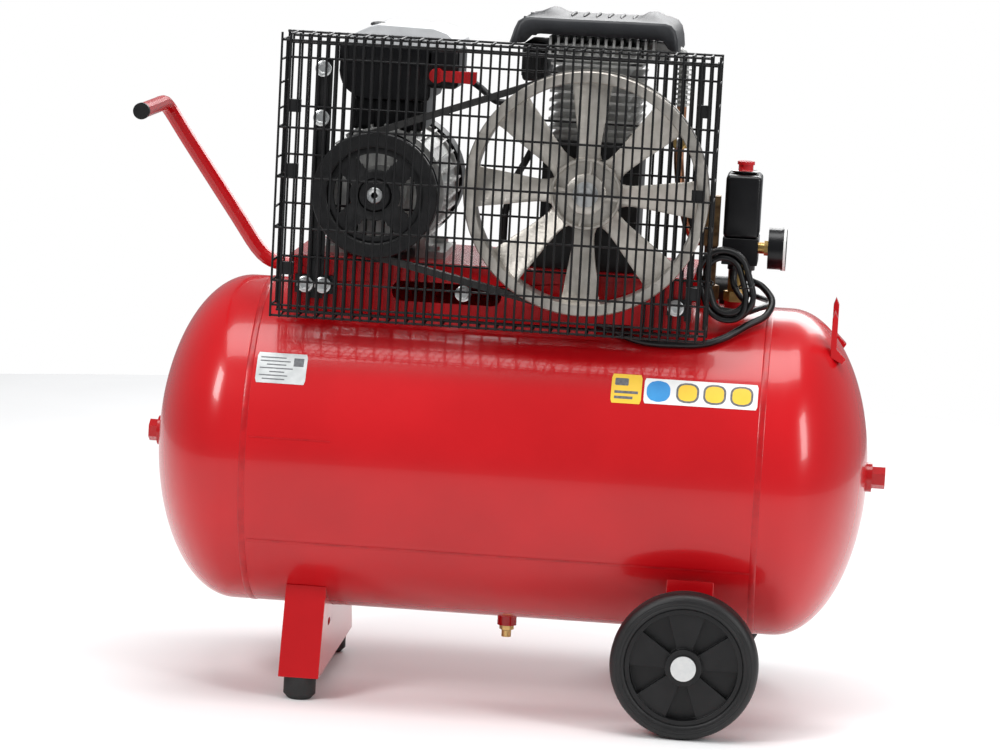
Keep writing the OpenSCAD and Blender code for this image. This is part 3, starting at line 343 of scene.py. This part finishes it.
HANK_LOW, HANK_HIGH = (256.0, 516.0), (248.0, 541.0)
HANK_OUT, HANK_IN = 29.0, 20.75
LAYERS = (-85.7, -93.0, -100.3)
HANK_TURNS, TURN_POINTS, ENTRY = 5.72, 36, -8  # the hank's turns, points in one, its first angle
CROSS_FROM, CROSS_SPAN = 0.82, 0.18  # the share of a turn in which the lead changes layer
BLEND = 2.6  # how quickly the two centres of the oblong loop take over from each other


def ease(t):
    """Smooth step from 0 to 1."""
    t = min(max(t, 0.0), 1.0)
    return t * t * (3 - 2 * t)


def hank_point(turn, phi):
    """turn counts from the entry: three outer turns forward, then three inner ones back."""
    k = int(math.floor(turn))
    step = ease((turn - k - CROSS_FROM) / CROSS_SPAN)
    depth = [LAYERS[0], LAYERS[1], LAYERS[2], LAYERS[2], LAYERS[1], LAYERS[0], LAYERS[0]]
    radius = [HANK_OUT] * 3 + [HANK_IN] * 4
    y = depth[k] + (depth[k + 1] - depth[k]) * step
    r = radius[k] + (radius[k + 1] - radius[k]) * step
    along = Vector((HANK_HIGH[0] - HANK_LOW[0], 0, HANK_HIGH[1] - HANK_LOW[1])).normalized()
    u = Vector((math.cos(phi), 0, math.sin(phi)))
    side = ease(0.5 + u.dot(along) * BLEND)
    c = Vector((HANK_LOW[0] + (HANK_HIGH[0] - HANK_LOW[0]) * side, 0,
                HANK_LOW[1] + (HANK_HIGH[1] - HANK_LOW[1]) * side))
    q = c + u * r
    return P(q.x, y, q.z)


lead_in = [P(*q) for q in [
    (258, -30, 546), (258, -30, 541), (258, -30, 536), (259, -33, 525), (265, -42, 514),
    (274, -54, 506), (281, -68, 502), (284, -80, 504)]]
hank = [hank_point(i / TURN_POINTS, math.radians(ENTRY) + 2 * math.pi * i / TURN_POINTS)
        for i in range(int(HANK_TURNS * TURN_POINTS) + 1)]
tail = [P(*q) for q in [
    (274, -73, 494), (290, -52, 497), (301, -28, 499), (304, 0, 500), (301, 24, 499),
    (292, 46, 499), (279, 59, 501), (268, 64, 503), (262, 65, 503)]]
mains_line = catmull(lead_in, 6)[:-1] + catmull([lead_in[-1]] + hank[1:], 2)
mains_line = mains_line + catmull([hank[-1]] + tail, 6)[1:]
mains_cord = cord_curve("mains_cord", mains_line, MAINS_D, "cable_sheath")
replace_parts(mains_cord, "mains_cable", "mains_hank")

# The tie: one loop round each limb of the hank's waist
TIE_X, TIE_Y, TIE_RISE, TIE_WIRE_R = 8.6, 11.2, 2.2, 0.0011
bm = bmesh.new()
waist = Vector(((HANK_HIGH[0] + HANK_LOW[0]) / 2, 0, (HANK_HIGH[1] + HANK_LOW[1]) / 2))
for n, limb_x in enumerate((-24.5, 24.5)):
    loop = []
    for k in range(40):
        a = 2 * math.pi * k / 40
        off_x = math.copysign(TIE_X * abs(math.cos(a)) ** 0.45, math.cos(a))
        off_y = math.copysign(TIE_Y * abs(math.sin(a)) ** 0.45, math.sin(a))
        loop.append(P(waist.x + limb_x + off_x, LAYERS[1] + off_y,
                      waist.z + TIE_RISE * math.sin(a + n)))
    tube(bm, loop + [loop[0]], TIE_WIRE_R, 8, close=False)
tie = add("hank_tie", bm, "black_plastic")

# ---- Tank ----

HALF, FLAT, DOME = 306.0, 25.0, 104.0  # barrel half length, straight skirt and dish of an end
SHELL_SIDES = 256
tank_mid = P(0, 0, TANK_Z)
bm = bmesh.new()
lathe(bm, [(TANK_R, -HALF + 2 * HALF * k / 12) for k in range(13)], tank_mid, "x", SHELL_SIDES)
barrel = add("tank_shell", bm, "red_paint")
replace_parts(barrel, "tank_barrel")
for name, cad, sign in (("tank_end_left", "tank_head_left", -1),
                        ("tank_end_right", "tank_head_right", 1)):
    prof = [(TANK_R, HALF), (TANK_R, HALF + FLAT / 2)]
    prof += [(TANK_R * math.cos(math.pi / 2 * k / 40),
              HALF + FLAT + DOME * math.sin(math.pi / 2 * k / 40))
             for k in range(40)] + [(0.4, HALF + FLAT + DOME)]
    bm = bmesh.new()
    lathe(bm, [(r, sign * h) for r, h in prof], tank_mid, "x", SHELL_SIDES)
    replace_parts(add(name, bm, "red_paint"), cad)

for name, sign in (("weld_left", -1), ("weld_right", 1)):
    bm = bmesh.new()
    bead = [(199.2, -5), (200.15, -3.8), (200.45, -2.2), (200.55, 0), (200.45, 2.2), (200.15, 3.8),
            (199.2, 5)]
    lathe(bm, [(r, sign * HALF + h) for r, h in bead], tank_mid, "x", SHELL_SIDES)
    add(name, bm, "weld_paint")


def patch(bm, x0, x1, a0, a1, proud, mat=0, corner=0.0, cols=10, rows=8):
    """A thin panel on the tank's front: x0 to x1 and proud in mm, a0 to a1 in degrees,
    its corners rounded by corner (mm)."""
    grid = []
    arc = math.radians(a1 - a0) * TANK_R
    for i in range(cols + 1):
        col = []
        for j in range(rows + 1):
            u, v = i / cols, j / rows
            x = x0 + (x1 - x0) * u
            d = min(v, 1 - v) * arc
            if corner and d < corner:
                cut = corner - math.sqrt(max(corner * corner - (corner - d) ** 2, 0))
                x = min(max(x, x0 + cut), x1 - cut)
            col.append(bm.verts.new(on_tank(x, a0 + (a1 - a0) * v, proud)))
        grid.append(col)
    for i in range(cols):
        for j in range(rows):
            f = bm.faces.new((grid[i][j], grid[i + 1][j], grid[i + 1][j + 1], grid[i][j + 1]))
            f.material_index = mat


# Seams and stickers, each a stack of thin panels
bm = bmesh.new()
patch(bm, -299, 304, -29.5, -28.6, 0.35, cols=60, rows=3)
patch(bm, -299, -202, 8.8, 9.3, 0.2, cols=20, rows=2)
add("shell_creases", bm, "weld_paint")

bm = bmesh.new()
patch(bm, -298, -238, 28, 39.5, 0.3, 0, 1.5)
PLATE_ROWS = ((34, 0), (40, 0), (26, 8), (44, 0), (20, 12), (38, 0), (30, 4))  # length, indent
for row, (length, start) in enumerate(PLATE_ROWS):
    a = 37.6 - 1.35 * row
    patch(bm, -294 + start, -294 + start + length * 0.9, a - 0.22, a + 0.22, 0.42, 1, cols=6,
          rows=1)
patch(bm, -254, -242, 34.6, 37.8, 0.42, 1, cols=4, rows=4)
add("rating_plate", bm, ["label_silver", "label_line"])

bm = bmesh.new()
patch(bm, 126, 162, 29, 40, 0.3, 0, 1.5)
patch(bm, 130, 146, 35.6, 38.4, 0.42, 1, 1.0)
patch(bm, 130, 158, 32.6, 33.6, 0.42, 1)
patch(bm, 130, 152, 30.6, 31.6, 0.42, 1)
add("sticker_yellow", bm, ["label_yellow", "label_line"])

bm = bmesh.new()
patch(bm, 165, 299.5, 29.5, 39, 0.3, 0, 1.5, cols=24)
patch(bm, 168, 196, 30.3, 38.2, 0.42, 1, 12, rows=16)
for x in (203, 235, 267):
    patch(bm, x, x + 27, 30.5, 38.0, 0.42, 2, 10, rows=16)
    patch(bm, x + 2.5, x + 24.5, 31.2, 37.3, 0.52, 3, 8, rows=16)
add("sticker_white", bm, ["label_white", "label_blue", "label_line", "label_yellow"])

# ---- Pump shroud ----

# (x, z) outlines in mm: the shroud's front edge, and its crown further back
SHROUD_FRONT = [
    (-21, 803), (-15.5, 819), (-12, 828), (-6, 833), (4, 834), (14, 834), (20, 834), (28, 834),
    (36, 834), (44, 834), (84, 834.5), (122, 835), (130, 835), (138, 835), (146, 835), (154, 835),
    (162, 835), (169, 833), (174, 827), (177, 817), (179, 803)]
SHROUD_CROWN = [
    (-27, 800), (-22, 817), (-18, 826), (-10, 831), (4, 836), (14, 840.5), (20, 843.5),
    (28, 842.5), (37, 837.5), (44, 835.5), (84, 836), (122, 836.5), (129, 838.5), (136, 843),
    (146, 844), (154, 840.5), (163, 836), (171, 831), (176, 823), (178.5, 812), (179, 799)]
SHROUD_Y0, SHROUD_Y1, SHROUD_MID_X = -98, 78, 76
LIP = 3.2  # how far the end edges turn in
LOWER_EDGE_Z = 815


def shroud_row(y):
    """The outline at depth y: its front edge swells into the crown, then falls off."""
    rise = ease((y + 95) / 55) * (1 - 0.7 * ease((y - 15) / 60))
    tuck = sum(LIP * (1 - min(1.0, max(d, 0.0) / LIP)) ** 2 for d in (y - SHROUD_Y0, SHROUD_Y1 - y))
    row = []
    for (fx, fz), (cx, cz) in zip(SHROUD_FRONT, SHROUD_CROWN):
        x, z = fx + (cx - fx) * rise, fz + (cz - fz) * rise
        inward = 1 if x < SHROUD_MID_X else -1
        at_side = ease((abs(x - SHROUD_MID_X) - 60) / 30)
        row.append((x + tuck * 0.8 * inward * at_side, y, z - tuck))
    return row


ys = [SHROUD_Y0, -97.6, -96.8, -95.6, -94, -88, -80, -70, -60, -50, -40, -25, -10, 10, 25, 40, 55,
      66, 73, 75, 76.5, 77.5, SHROUD_Y1]
bm = bmesh.new()
rows = [[bm.verts.new(P(*q)) for q in shroud_row(y)] for y in ys]
for a, b in zip(rows, rows[1:]):
    for k in range(len(SHROUD_FRONT) - 1):
        bm.faces.new((a[k], a[k + 1], b[k + 1], b[k]))
for row, y in ((rows[0], SHROUD_Y0), (rows[-1], SHROUD_Y1)):
    lower = []
    for k, v in enumerate(row):
        x = v.co.x * 1000 - SHIFT_X
        deep = max(ease((8 - x) / 14), ease((x - 158) / 12))
        lower.append(bm.verts.new(P(x, y, min(LOWER_EDGE_Z - 12 * deep, v.co.z * 1000 - 1))))
    for k in range(len(SHROUD_FRONT) - 1):
        bm.faces.new((row[k], row[k + 1], lower[k + 1], lower[k]))
shroud = add("pump_shroud", bm, "shroud_black", angle=60)
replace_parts(shroud, "filter_cover")
wall = shroud.modifiers.new("wall", "SOLIDIFY")
wall.thickness = 0.0022
wall.offset = -1

# Ribs on the crown and the four posts that carry the shroud
bm = bmesh.new()
for i in range(6):
    x = 47 + 14.8 * i
    tube(bm, [P(x, y, 836.4 + 0.4 * ease((y + 60) / 40)) for y in (-52, -40, -25, 0, 20, 34)],
         [0.0006, 0.0019, 0.0021, 0.0021, 0.0019, 0.0006], 12)
for x in (-4, 162):
    for y in (-60, 40):
        tube(bm, [P(x, y, 812), P(x, y, 833)], 0.006, 20)
add("shroud_ribs", bm, "black_plastic")

bm = bmesh.new()
rounded_box(bm, P(-8, -70, 756), P(21, 50, 803), 0.005)
for k in range(9):
    rounded_box(bm, P(-9.2, -64 + 13.2 * k, 762), P(-6, -60 + 13.2 * k, 797), 0.0008, 2)
for k in range(3):
    rounded_box(bm, P(-4 + 8 * k, -71.2, 763), P(-0.5 + 8 * k, -68, 797), 0.0008, 2)
add("intake_filter", bm, "black_plastic")

# ---- Tyres ----

# Half a tyre's section: (radius, distance from its middle plane)
TYRE_SIDE = [
    (70, 15.5), (70.6, 17.6), (72.4, 18.8), (73.8, 18.9), (74.4, 18.2), (75.6, 18.2), (76.2, 18.9),
    (78.6, 18.9), (79.2, 18.3), (80.2, 18.2), (80.8, 18.6), (83.0, 17.6), (85.4, 15.4),
    (87.0, 12.2), (87.8, 8.6), (88, 6.4), (87.2, 6.0), (87.2, 4.9), (88, 4.5), (88, 0.8),
    (87.2, 0.5)]
for cad, y, body in (("tyre_front", -210, "wheel_front"), ("tyre_rear", 210, "wheel_rear")):
    bm = bmesh.new()
    near = [(r, -h) for r, h in TYRE_SIDE]
    loop = near + [(r, h) for r, h in reversed(TYRE_SIDE)] + near[:1]
    lathe(bm, loop, P(233, y, 88), "y", 144)
    o = add(cad.replace("tyre", "tread"), bm, "tyre_rubber", body, angle=50)
    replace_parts(o, cad)

# ---- Lid, gauge and small parts ----

# The lid's recess is drawn as a near-black oval dome: painted shade in place of the hollow's
# shadow, not a black part.
bm = bmesh.new()
lathe(bm, [(0.3, 815.0), (5, 814.9), (8, 814.4), (9.6, 813.4), (10, 811.5)],
      P(-186, -40, 0), "z", 48)
lid_y = P(0, -40, 0).y
for v in bm.verts:  # a disc drawn out to a long oval
    v.co.y = lid_y + (v.co.y - lid_y) * 2.6
add("lid_recess_shade", bm, "dark_recess")

bm = bmesh.new()
gauge = P(0, -22, 568)
lathe(bm, [(22.6, 308.4), (22.6, 308.9), (2.0, 308.9)], gauge, "x", 64)
MARKS, FIRST_MARK, MARK_STEP = 31, 225, 9  # degrees
MARKS_X = 0.309
for k in range(MARKS):
    a = math.radians(FIRST_MARK - MARK_STEP * k)
    big = k % 5 == 0
    r0, r1, w = (15.0, 20.5, 0.8) if big else (18.0, 20.5, 0.35)
    u, t = Vector((0, math.cos(a), math.sin(a))), Vector((0, -math.sin(a), math.cos(a)))
    c = gauge + Vector((MARKS_X, 0, 0))
    q = [bm.verts.new(c + (u * r + t * off) / 1000)
         for r, off in ((r0, -w), (r1, -w), (r1, w), (r0, w))]
    f = bm.faces.new(q)
    f.material_index = 1
add("gauge_dial", bm, ["dial_white", "label_line"])
bm = bmesh.new()
lathe(bm, [(23.2, 318.6), (23.4, 319.7), (25.0, 319.95), (26.1, 319.4), (26.15, 316.6),
           (25.8, 316.4)], gauge, "x", 96)
add("gauge_bezel", bm, "dial_white")

bm = bmesh.new()
BOOT_POINTS, BOOT_R, BOOT_TAPER, BOOT_RIB = 22, 0.0056, 0.0018, 0.0003
tube(bm, mains_line[:BOOT_POINTS],
     [BOOT_R - BOOT_TAPER * min(1, i / (BOOT_POINTS - 1)) + (BOOT_RIB if i % 3 == 0 else 0)
      for i in range(BOOT_POINTS)], 20)
add("lead_boot", bm, "cable_sheath")

# ---- Belt guard, of round wires ----

WIRE_R = 0.0014
FRONT_Y, REAR_Y = -175.0, -115.0
WIRE_PITCH, GUARD_X = 10.75, -283.5
wires_x = [GUARD_X + WIRE_PITCH * i for i in range(49)]
LOW_Z, HIGH_Z = 468.0, 802.5
GAP_X0, GAP_X1 = -200, -132  # the rear panel is open here, round the motor
GAP_Z0, GAP_Z1, GAP_MID_Z = 597.4, 713.8, 656
WIRE_END = 1.4  # wires run this far past the ones they end on
CROSSING = 2.7  # crossing wires lie this far apart
SPAN_X0, SPAN_X1 = -285, 234  # ends of the long level wires
EDGE_WIRES_Y = (-149, -141)  # the two wires along each narrow side


def wire(bm, *points):
    """A round wire through points in mm."""
    tube(bm, [P(*q) for q in points], WIRE_R, 8)


def guard_piece(name, bm, cad):
    """A panel of wires that stands for one CAD node."""
    o = add(name, bm, "black_wire", angle=70)
    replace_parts(o, cad)


bm = bmesh.new()
for x in wires_x:
    wire(bm, (x, FRONT_Y, LOW_Z - WIRE_END), (x, FRONT_Y, HIGH_Z + WIRE_END))
for z in (468, 480.5, 509.7, 573, 633, 692, 795):
    wire(bm, (SPAN_X0, FRONT_Y + CROSSING, z), (SPAN_X1, FRONT_Y + CROSSING, z))
guard_piece("guard_front", bm, "guard_front_panel")

bm = bmesh.new()
half_steps = [GUARD_X + WIRE_PITCH * (i + 0.5) for i in range(40)]
left_x = [GUARD_X] + [x for x in half_steps if x <= -100]
for x in left_x + [x for x in wires_x if x > 150]:
    if GAP_X0 < x < GAP_X1:
        wire(bm, (x, REAR_Y, LOW_Z - WIRE_END), (x, REAR_Y, GAP_Z0))
        wire(bm, (x, REAR_Y, GAP_Z1), (x, REAR_Y, HIGH_Z + WIRE_END))
    else:
        wire(bm, (x, REAR_Y, LOW_Z - WIRE_END), (x, REAR_Y, HIGH_Z + WIRE_END))
open_x = [x for x in left_x if GAP_X0 < x < GAP_X1]
for z in (LOW_Z, 533.5, GAP_Z0, GAP_MID_Z, GAP_Z1, 771.7, 789.5, HIGH_Z):
    spans = [(SPAN_X0, SPAN_X1)]
    if z == GAP_MID_Z:
        spans = [(SPAN_X0, open_x[0] - WIRE_PITCH + WIRE_END),
                 (open_x[-1] + WIRE_PITCH - WIRE_END, SPAN_X1)]
    for x0, x1 in spans:
        wire(bm, (x0, REAR_Y - CROSSING, z), (x1, REAR_Y - CROSSING, z))
guard_piece("guard_rear", bm, "guard_rear_panel")

bm = bmesh.new()
for z, inward in ((LOW_Z, 1), (HIGH_Z, -1)):
    for x in wires_x[1:-1:2]:
        wire(bm, (x, FRONT_Y + 1, z), (x, REAR_Y - 1, z))
    for y in EDGE_WIRES_Y:
        wire(bm, (wires_x[1], y, z + CROSSING * inward), (wires_x[-2], y, z + CROSSING * inward))
for x, inward in ((GUARD_X, 1), (232.5, -1)):
    for z in (480.5, 509.7, 533.5, 573, 597.4, 633, 656, 692, 713.8, 744, 771.7, 795):
        wire(bm, (x, FRONT_Y + 1, z), (x, REAR_Y - 1, z))
    for y in EDGE_WIRES_Y:
        wire(bm, (x + CROSSING * inward, y, 480), (x + CROSSING * inward, y, 796))
guard_piece("guard_sides", bm, "guard_rim")

# Washer and head of each bolt that shows
bm = bmesh.new()
for x, z, y in ((-251, 501, -119.2), (-229.5, 501, -119.2), (194.5, 500, -119.2),
                (-240.5, 701, -119.2), (-240.5, 760, -119.2), (-61, 500, -109.5)):
    at = P(x, 0, z)
    lathe(bm, [(6.9, y - 0.2), (9.6, y - 0.2), (9.8, y - 0.9), (9.2, y - 1.3), (7.4, y - 1.7)], at,
          "y", 40)
    lathe(bm, [(6.6, y - 4.8), (6.3, y - 5.5), (4.6, y - 5.8), (4.1, y - 5.3), (0.3, y - 5.2)], at,
          "y", 40)
add("bolt_faces", bm, "zinc_steel")

# ---- Flywheel and motor pulley ----

FLYWHEEL_AT = P(82.4, 0, 633)
SPOKES, SPOKE_STEPS, SPOKE_SIDES = 8, 12, 20
SPOKE_FROM, SPOKE_RUN, SPOKE_Y, SPOKE_HALF = 39.5, 94.5, -144, 2.7
bm = bmesh.new()
lathe(bm, [(131.5, -161.6), (132.6, -163), (143.6, -163), (145, -161.6), (145, -151),
           (136.3, -150.6), (136.3, -137.4), (145, -137), (145, -126.4), (143.6, -125),
           (132.6, -125), (131.5, -126.4), (130.6, -138), (130.4, -144), (130.6, -150),
           (131.5, -161.6)], FLYWHEEL_AT, "y", 192)
lathe(bm, [(11, -160.6), (22.5, -160.6), (24, -159.4), (24, -151.6), (38, -151.2), (38.4, -158.6),
           (39.2, -159.6), (41.4, -159.6), (42.2, -158.6), (42.4, -149.6), (41, -148.8),
           (24.4, -148.6), (24, -127), (23, -126), (11, -126)], FLYWHEEL_AT, "y", 96)
for k in range(4):  # partitions inside the hub
    turn = Matrix.Rotation(math.radians(90 * k + 8), 4, "Y")
    before = set(bm.verts)
    rounded_box(bm, Vector((-0.0016, -0.1586, 0.022)), Vector((0.0016, -0.1505, 0.0392)), 0.0007, 2)
    for v in set(bm.verts) - before:
        v.co = turn @ v.co + FLYWHEEL_AT
for k in range(SPOKES):  # slanted spokes that blow air over the pump
    turn = Matrix.Rotation(math.radians(360 / SPOKES * k), 4, "Y")
    sections = []
    for t in [i / SPOKE_STEPS for i in range(SPOKE_STEPS + 1)]:
        r = SPOKE_FROM + SPOKE_RUN * t
        half = 13.5 + 10.5 * ease(t) + 3.0 * ease((t - 0.86) / 0.14) + 3.5 * ease((0.12 - t) / 0.12)
        lean = math.radians(27 - 5 * t)
        ring = []
        for i in range(SPOKE_SIDES):
            a = 2 * math.pi * i / SPOKE_SIDES
            u = half * math.copysign(abs(math.cos(a)) ** 0.55, math.cos(a))
            v = SPOKE_HALF * math.copysign(abs(math.sin(a)) ** 0.7, math.sin(a))
            v += 2.4 * (1 - (u / half) ** 2) - 1.2  # the spoke is dished
            x = u * math.cos(lean) - v * math.sin(lean)
            y = SPOKE_Y + u * math.sin(lean) + v * math.cos(lean)
            ring.append(bm.verts.new(FLYWHEEL_AT + turn @ (Vector((x, y, r)) / 1000)))
        sections.append(ring)
    for inner, outer in zip(sections, sections[1:]):
        for i in range(SPOKE_SIDES):
            j = (i + 1) % SPOKE_SIDES
            bm.faces.new((inner[i], inner[j], outer[j], outer[i]))
fan_wheel = add("fan_flywheel", bm, "grey_iron", "crank", angle=45)
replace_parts(fan_wheel, "flywheel")

PULLEY_AT = P(-168, 0, 616)
bm = bmesh.new()
lathe(bm, [(57, -156.6), (58.6, -158), (73.6, -158), (75, -156.6), (75, -151), (66.3, -150.6),
           (66.3, -137.4), (75, -137), (75, -131.4), (73.6, -130), (58.6, -130), (57, -131.4),
           (56.6, -144), (57, -156.6)], PULLEY_AT, "y", 144)
lathe(bm, [(9.6, -156), (17.6, -156), (18.8, -154.8), (20, -147), (20, -131), (19, -130),
           (9.6, -130)], PULLEY_AT, "y", 64)
lathe(bm, [(50.8, -148.2), (51.6, -150.2), (53.6, -151), (56.9, -151)], PULLEY_AT, "y", 144)
rim = add("pulley_rim", bm, "black_iron", "rotor")
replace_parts(rim, "motor_pulley")
bm = bmesh.new()
WEB_SIDES, WEB_Y, WINDOWS = 144, -148, 4
WINDOW_RINGS = range(2, 6)  # the rings of faces that the windows are cut from
web = []
for r in (19.6, 27, 30, 34, 40, 46, 49.5, 51.5, 57):
    ring = []
    for k in range(WEB_SIDES):
        a = 2 * math.pi * k / WEB_SIDES
        q = Vector((r * math.cos(a), WEB_Y - 2 * ease((34 - r) / 14), r * math.sin(a)))
        ring.append(bm.verts.new(PULLEY_AT + q / 1000))
    web.append(ring)
quarter = WEB_SIDES // WINDOWS
for i, (inner, outer) in enumerate(zip(web, web[1:])):
    for k in range(WEB_SIDES):
        away = abs((k + 0.5) % quarter - quarter / 2)  # steps from the middle of a spoke
        if i in WINDOW_RINGS and away > quarter / 2 - (8 + 0.75 * i):
            continue
        j = (k + 1) % WEB_SIDES
        bm.faces.new((inner[k], inner[j], outer[j], outer[k]))
web = add("pulley_web", bm, "black_iron", "rotor")
wall = web.modifiers.new("wall", "SOLIDIFY")
wall.thickness = 0.007
wall.offset = 0
edge = web.modifiers.new("edge", "BEVEL")
edge.width = 0.0012
edge.segments = 2
bm = bmesh.new()
lathe(bm, [(0.3, -155.0), (3.4, -155.0), (4.0, -157.2), (5.2, -157.6), (8.6, -157.6), (9.4, -156.8),
           (9.4, -150)], PULLEY_AT, "y", 48)
add("shaft_end", bm, "zinc_steel", "rotor")

# ---- Terminal box ----


def prism(bm, outline, y0, y1, radius, segments=3):
    """An outline in XZ carried from y0 to y1, its edges rounded by radius (m)."""
    before = set(bm.edges)
    near = [bm.verts.new(P(x, y0, z)) for x, z in outline]
    far = [bm.verts.new(P(x, y1, z)) for x, z in outline]
    n = len(outline)
    for k in range(n):
        bm.faces.new((near[k], near[(k + 1) % n], far[(k + 1) % n], far[k]))
    bm.faces.new(near)
    bm.faces.new(far)
    ends = [e for e in bm.edges
            if e not in before and abs(e.verts[0].co.y - e.verts[1].co.y) < 1e-6]
    bmesh.ops.bevel(bm, geom=ends, offset=radius, segments=segments, affect="EDGES", profile=0.5)


# Box with one rounded lower corner, its rim, the ribbed neck and the switch housing
bm = bmesh.new()
corner = [(-225.2 + 37 * (1 - math.cos(math.radians(a))), 757 - 31.5 * math.sin(math.radians(a)))
          for a in range(0, 91, 9)]
prism(bm, [(-225.2, 789)] + corner + [(-122, 725.5), (-116.5, 727), (-114.8, 732), (-114.8, 789)],
      -91.2, 51.2, 0.003)
prism(bm, [(-226, 790), (-226, 768.6), (-114, 768.6), (-114, 790)], -92, 52, 0.0012, 2)
rounded_box(bm, P(-212, -66, 686), P(-124, 40, 727), 0.006)
for k in range(5):
    rounded_box(bm, P(-206 + 17 * k, -67.4, 690), P(-200 + 17 * k, -64, 722), 0.0008, 2)
rounded_box(bm, P(-128, -92, 742), P(-82, 12, 790), 0.006, 5)
box = add("motor_box", bm, "gloss_black")
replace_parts(box, "terminal_box")

# ---- Second materials on the pipework ----

COOLER_Z, BRONZE_X = 0.728, P(240, 0, 0).x  # alloy above this, bronze left of this
pipe, fittings = nodes["delivery_pipe"].data, nodes["brass_fittings"].data
pipe.materials.append(M["grey_alloy"])
for poly in pipe.polygons:
    poly.material_index = 1 if poly.center.z > COOLER_Z else 0
fittings.materials.append(M["bronze"])
for poly in fittings.polygons:
    poly.material_index = 1 if poly.center.x < BRONZE_X else 0

# ---- Pressure switch ----

bm = bmesh.new()
rounded_box(bm, P(243, -46, 580), P(286, 22, 656), 0.0055, 5)
cover = add("switch_hood", bm, "gloss_black")
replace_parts(cover, "switch_cover")
bm = bmesh.new()
collar_at = P(265, -12, 656)
lathe(bm, [(11.6, 0), (11.6, 1.2), (13.0, 1.6), (17.5, 4.2), (18.3, 4.0), (18.0, 3.0), (13.6, 0.2),
           (11.6, 0)], collar_at, "z", 64)
for v in bm.verts:
    v.co.y = collar_at.y + (v.co.y - collar_at.y) * 0.98
add("knob_collar", bm, "zinc_steel")

# ---- Softer edges on the CAD nodes that stay ----

EDGE_R, EDGE_ANGLE = 0.0009, math.radians(40)
for name in ("wheel_bracket", "foot_bracket", "base_plate", "cable_hooks", "crankcase",
             "pressure_switch", "terminal_box_lid", "wheel_front", "wheel_rear", "isolator_lever"):
    weld = nodes[name].modifiers.new("join", "WELD")
    weld.merge_threshold = 0.00001
    edge = nodes[name].modifiers.new("edge", "BEVEL")
    edge.width = EDGE_R
    edge.segments = 2
    edge.limit_method = "ANGLE"
    edge.angle_limit = EDGE_ANGLE
    edge.use_clamp_overlap = True
    edge.harden_normals = True

# ---- Floor and light ----

FLOOR_R = 2.6
SKY_SEEN, SKY_LIGHT = 1.0, 0.32  # the white behind the machine is brighter than what lights it
bm = bmesh.new()
bmesh.ops.create_circle(bm, cap_ends=True, radius=FLOOR_R, segments=96)
me = bpy.data.meshes.new("floor")
bm.to_mesh(me)
bm.free()
floor = bpy.data.objects.new("floor", me)
bpy.context.scene.collection.objects.link(floor)
floor.data.materials.append(material("pale_floor", (0.90, 0.90, 0.90), (0.87, 0.87, 0.87), 2,
                                     (0.55, 0.65)))

world = bpy.data.worlds.new("studio")
bpy.context.scene.world = world
world.use_nodes = True
wt = world.node_tree
seen_sky = wt.nodes["Background"]
seen_sky.inputs[0].default_value = (1, 1, 1, 1)
seen_sky.inputs[1].default_value = SKY_SEEN
soft_sky = wt.nodes.new("ShaderNodeBackground")
soft_sky.inputs[0].default_value = (0.95, 0.97, 1, 1)
soft_sky.inputs[1].default_value = SKY_LIGHT
path = wt.nodes.new("ShaderNodeLightPath")
pick = wt.nodes.new("ShaderNodeMixShader")
wt.links.new(path.outputs["Is Camera Ray"], pick.inputs[0])
wt.links.new(soft_sky.outputs[0], pick.inputs[1])
wt.links.new(seen_sky.outputs[0], pick.inputs[2])
wt.links.new(pick.outputs[0], wt.nodes["World Output"].inputs[0])
bpy.context.scene.view_settings.view_transform = "Standard"


def area(name, at, aim, size, watts):
    """A rectangular lamp at one point, turned towards another."""
    d = bpy.data.lights.new(name, "AREA")
    d.shape = "RECTANGLE"
    d.size, d.size_y = size
    d.energy = watts
    o = bpy.data.objects.new(name, d)
    o.location = at
    o.rotation_euler = (Vector(aim) - Vector(at)).to_track_quat("-Z", "Y").to_euler()
    bpy.context.scene.collection.objects.link(o)


area("key", (-2.0, -2.2, 2.6), (0, 0, 0.5), (0.9, 1.3), 62)
area("fill", (2.6, -1.6, 1.7), (0.1, 0, 0.5), (0.7, 1.5), 38)
area("top", (0.1, -0.3, 3.2), (0, 0, 0.4), (3.0, 1.4), 75)
area("rear", (0.6, 3.0, 2.2), (0, 0, 0.5), (2.4, 1.4), 60)
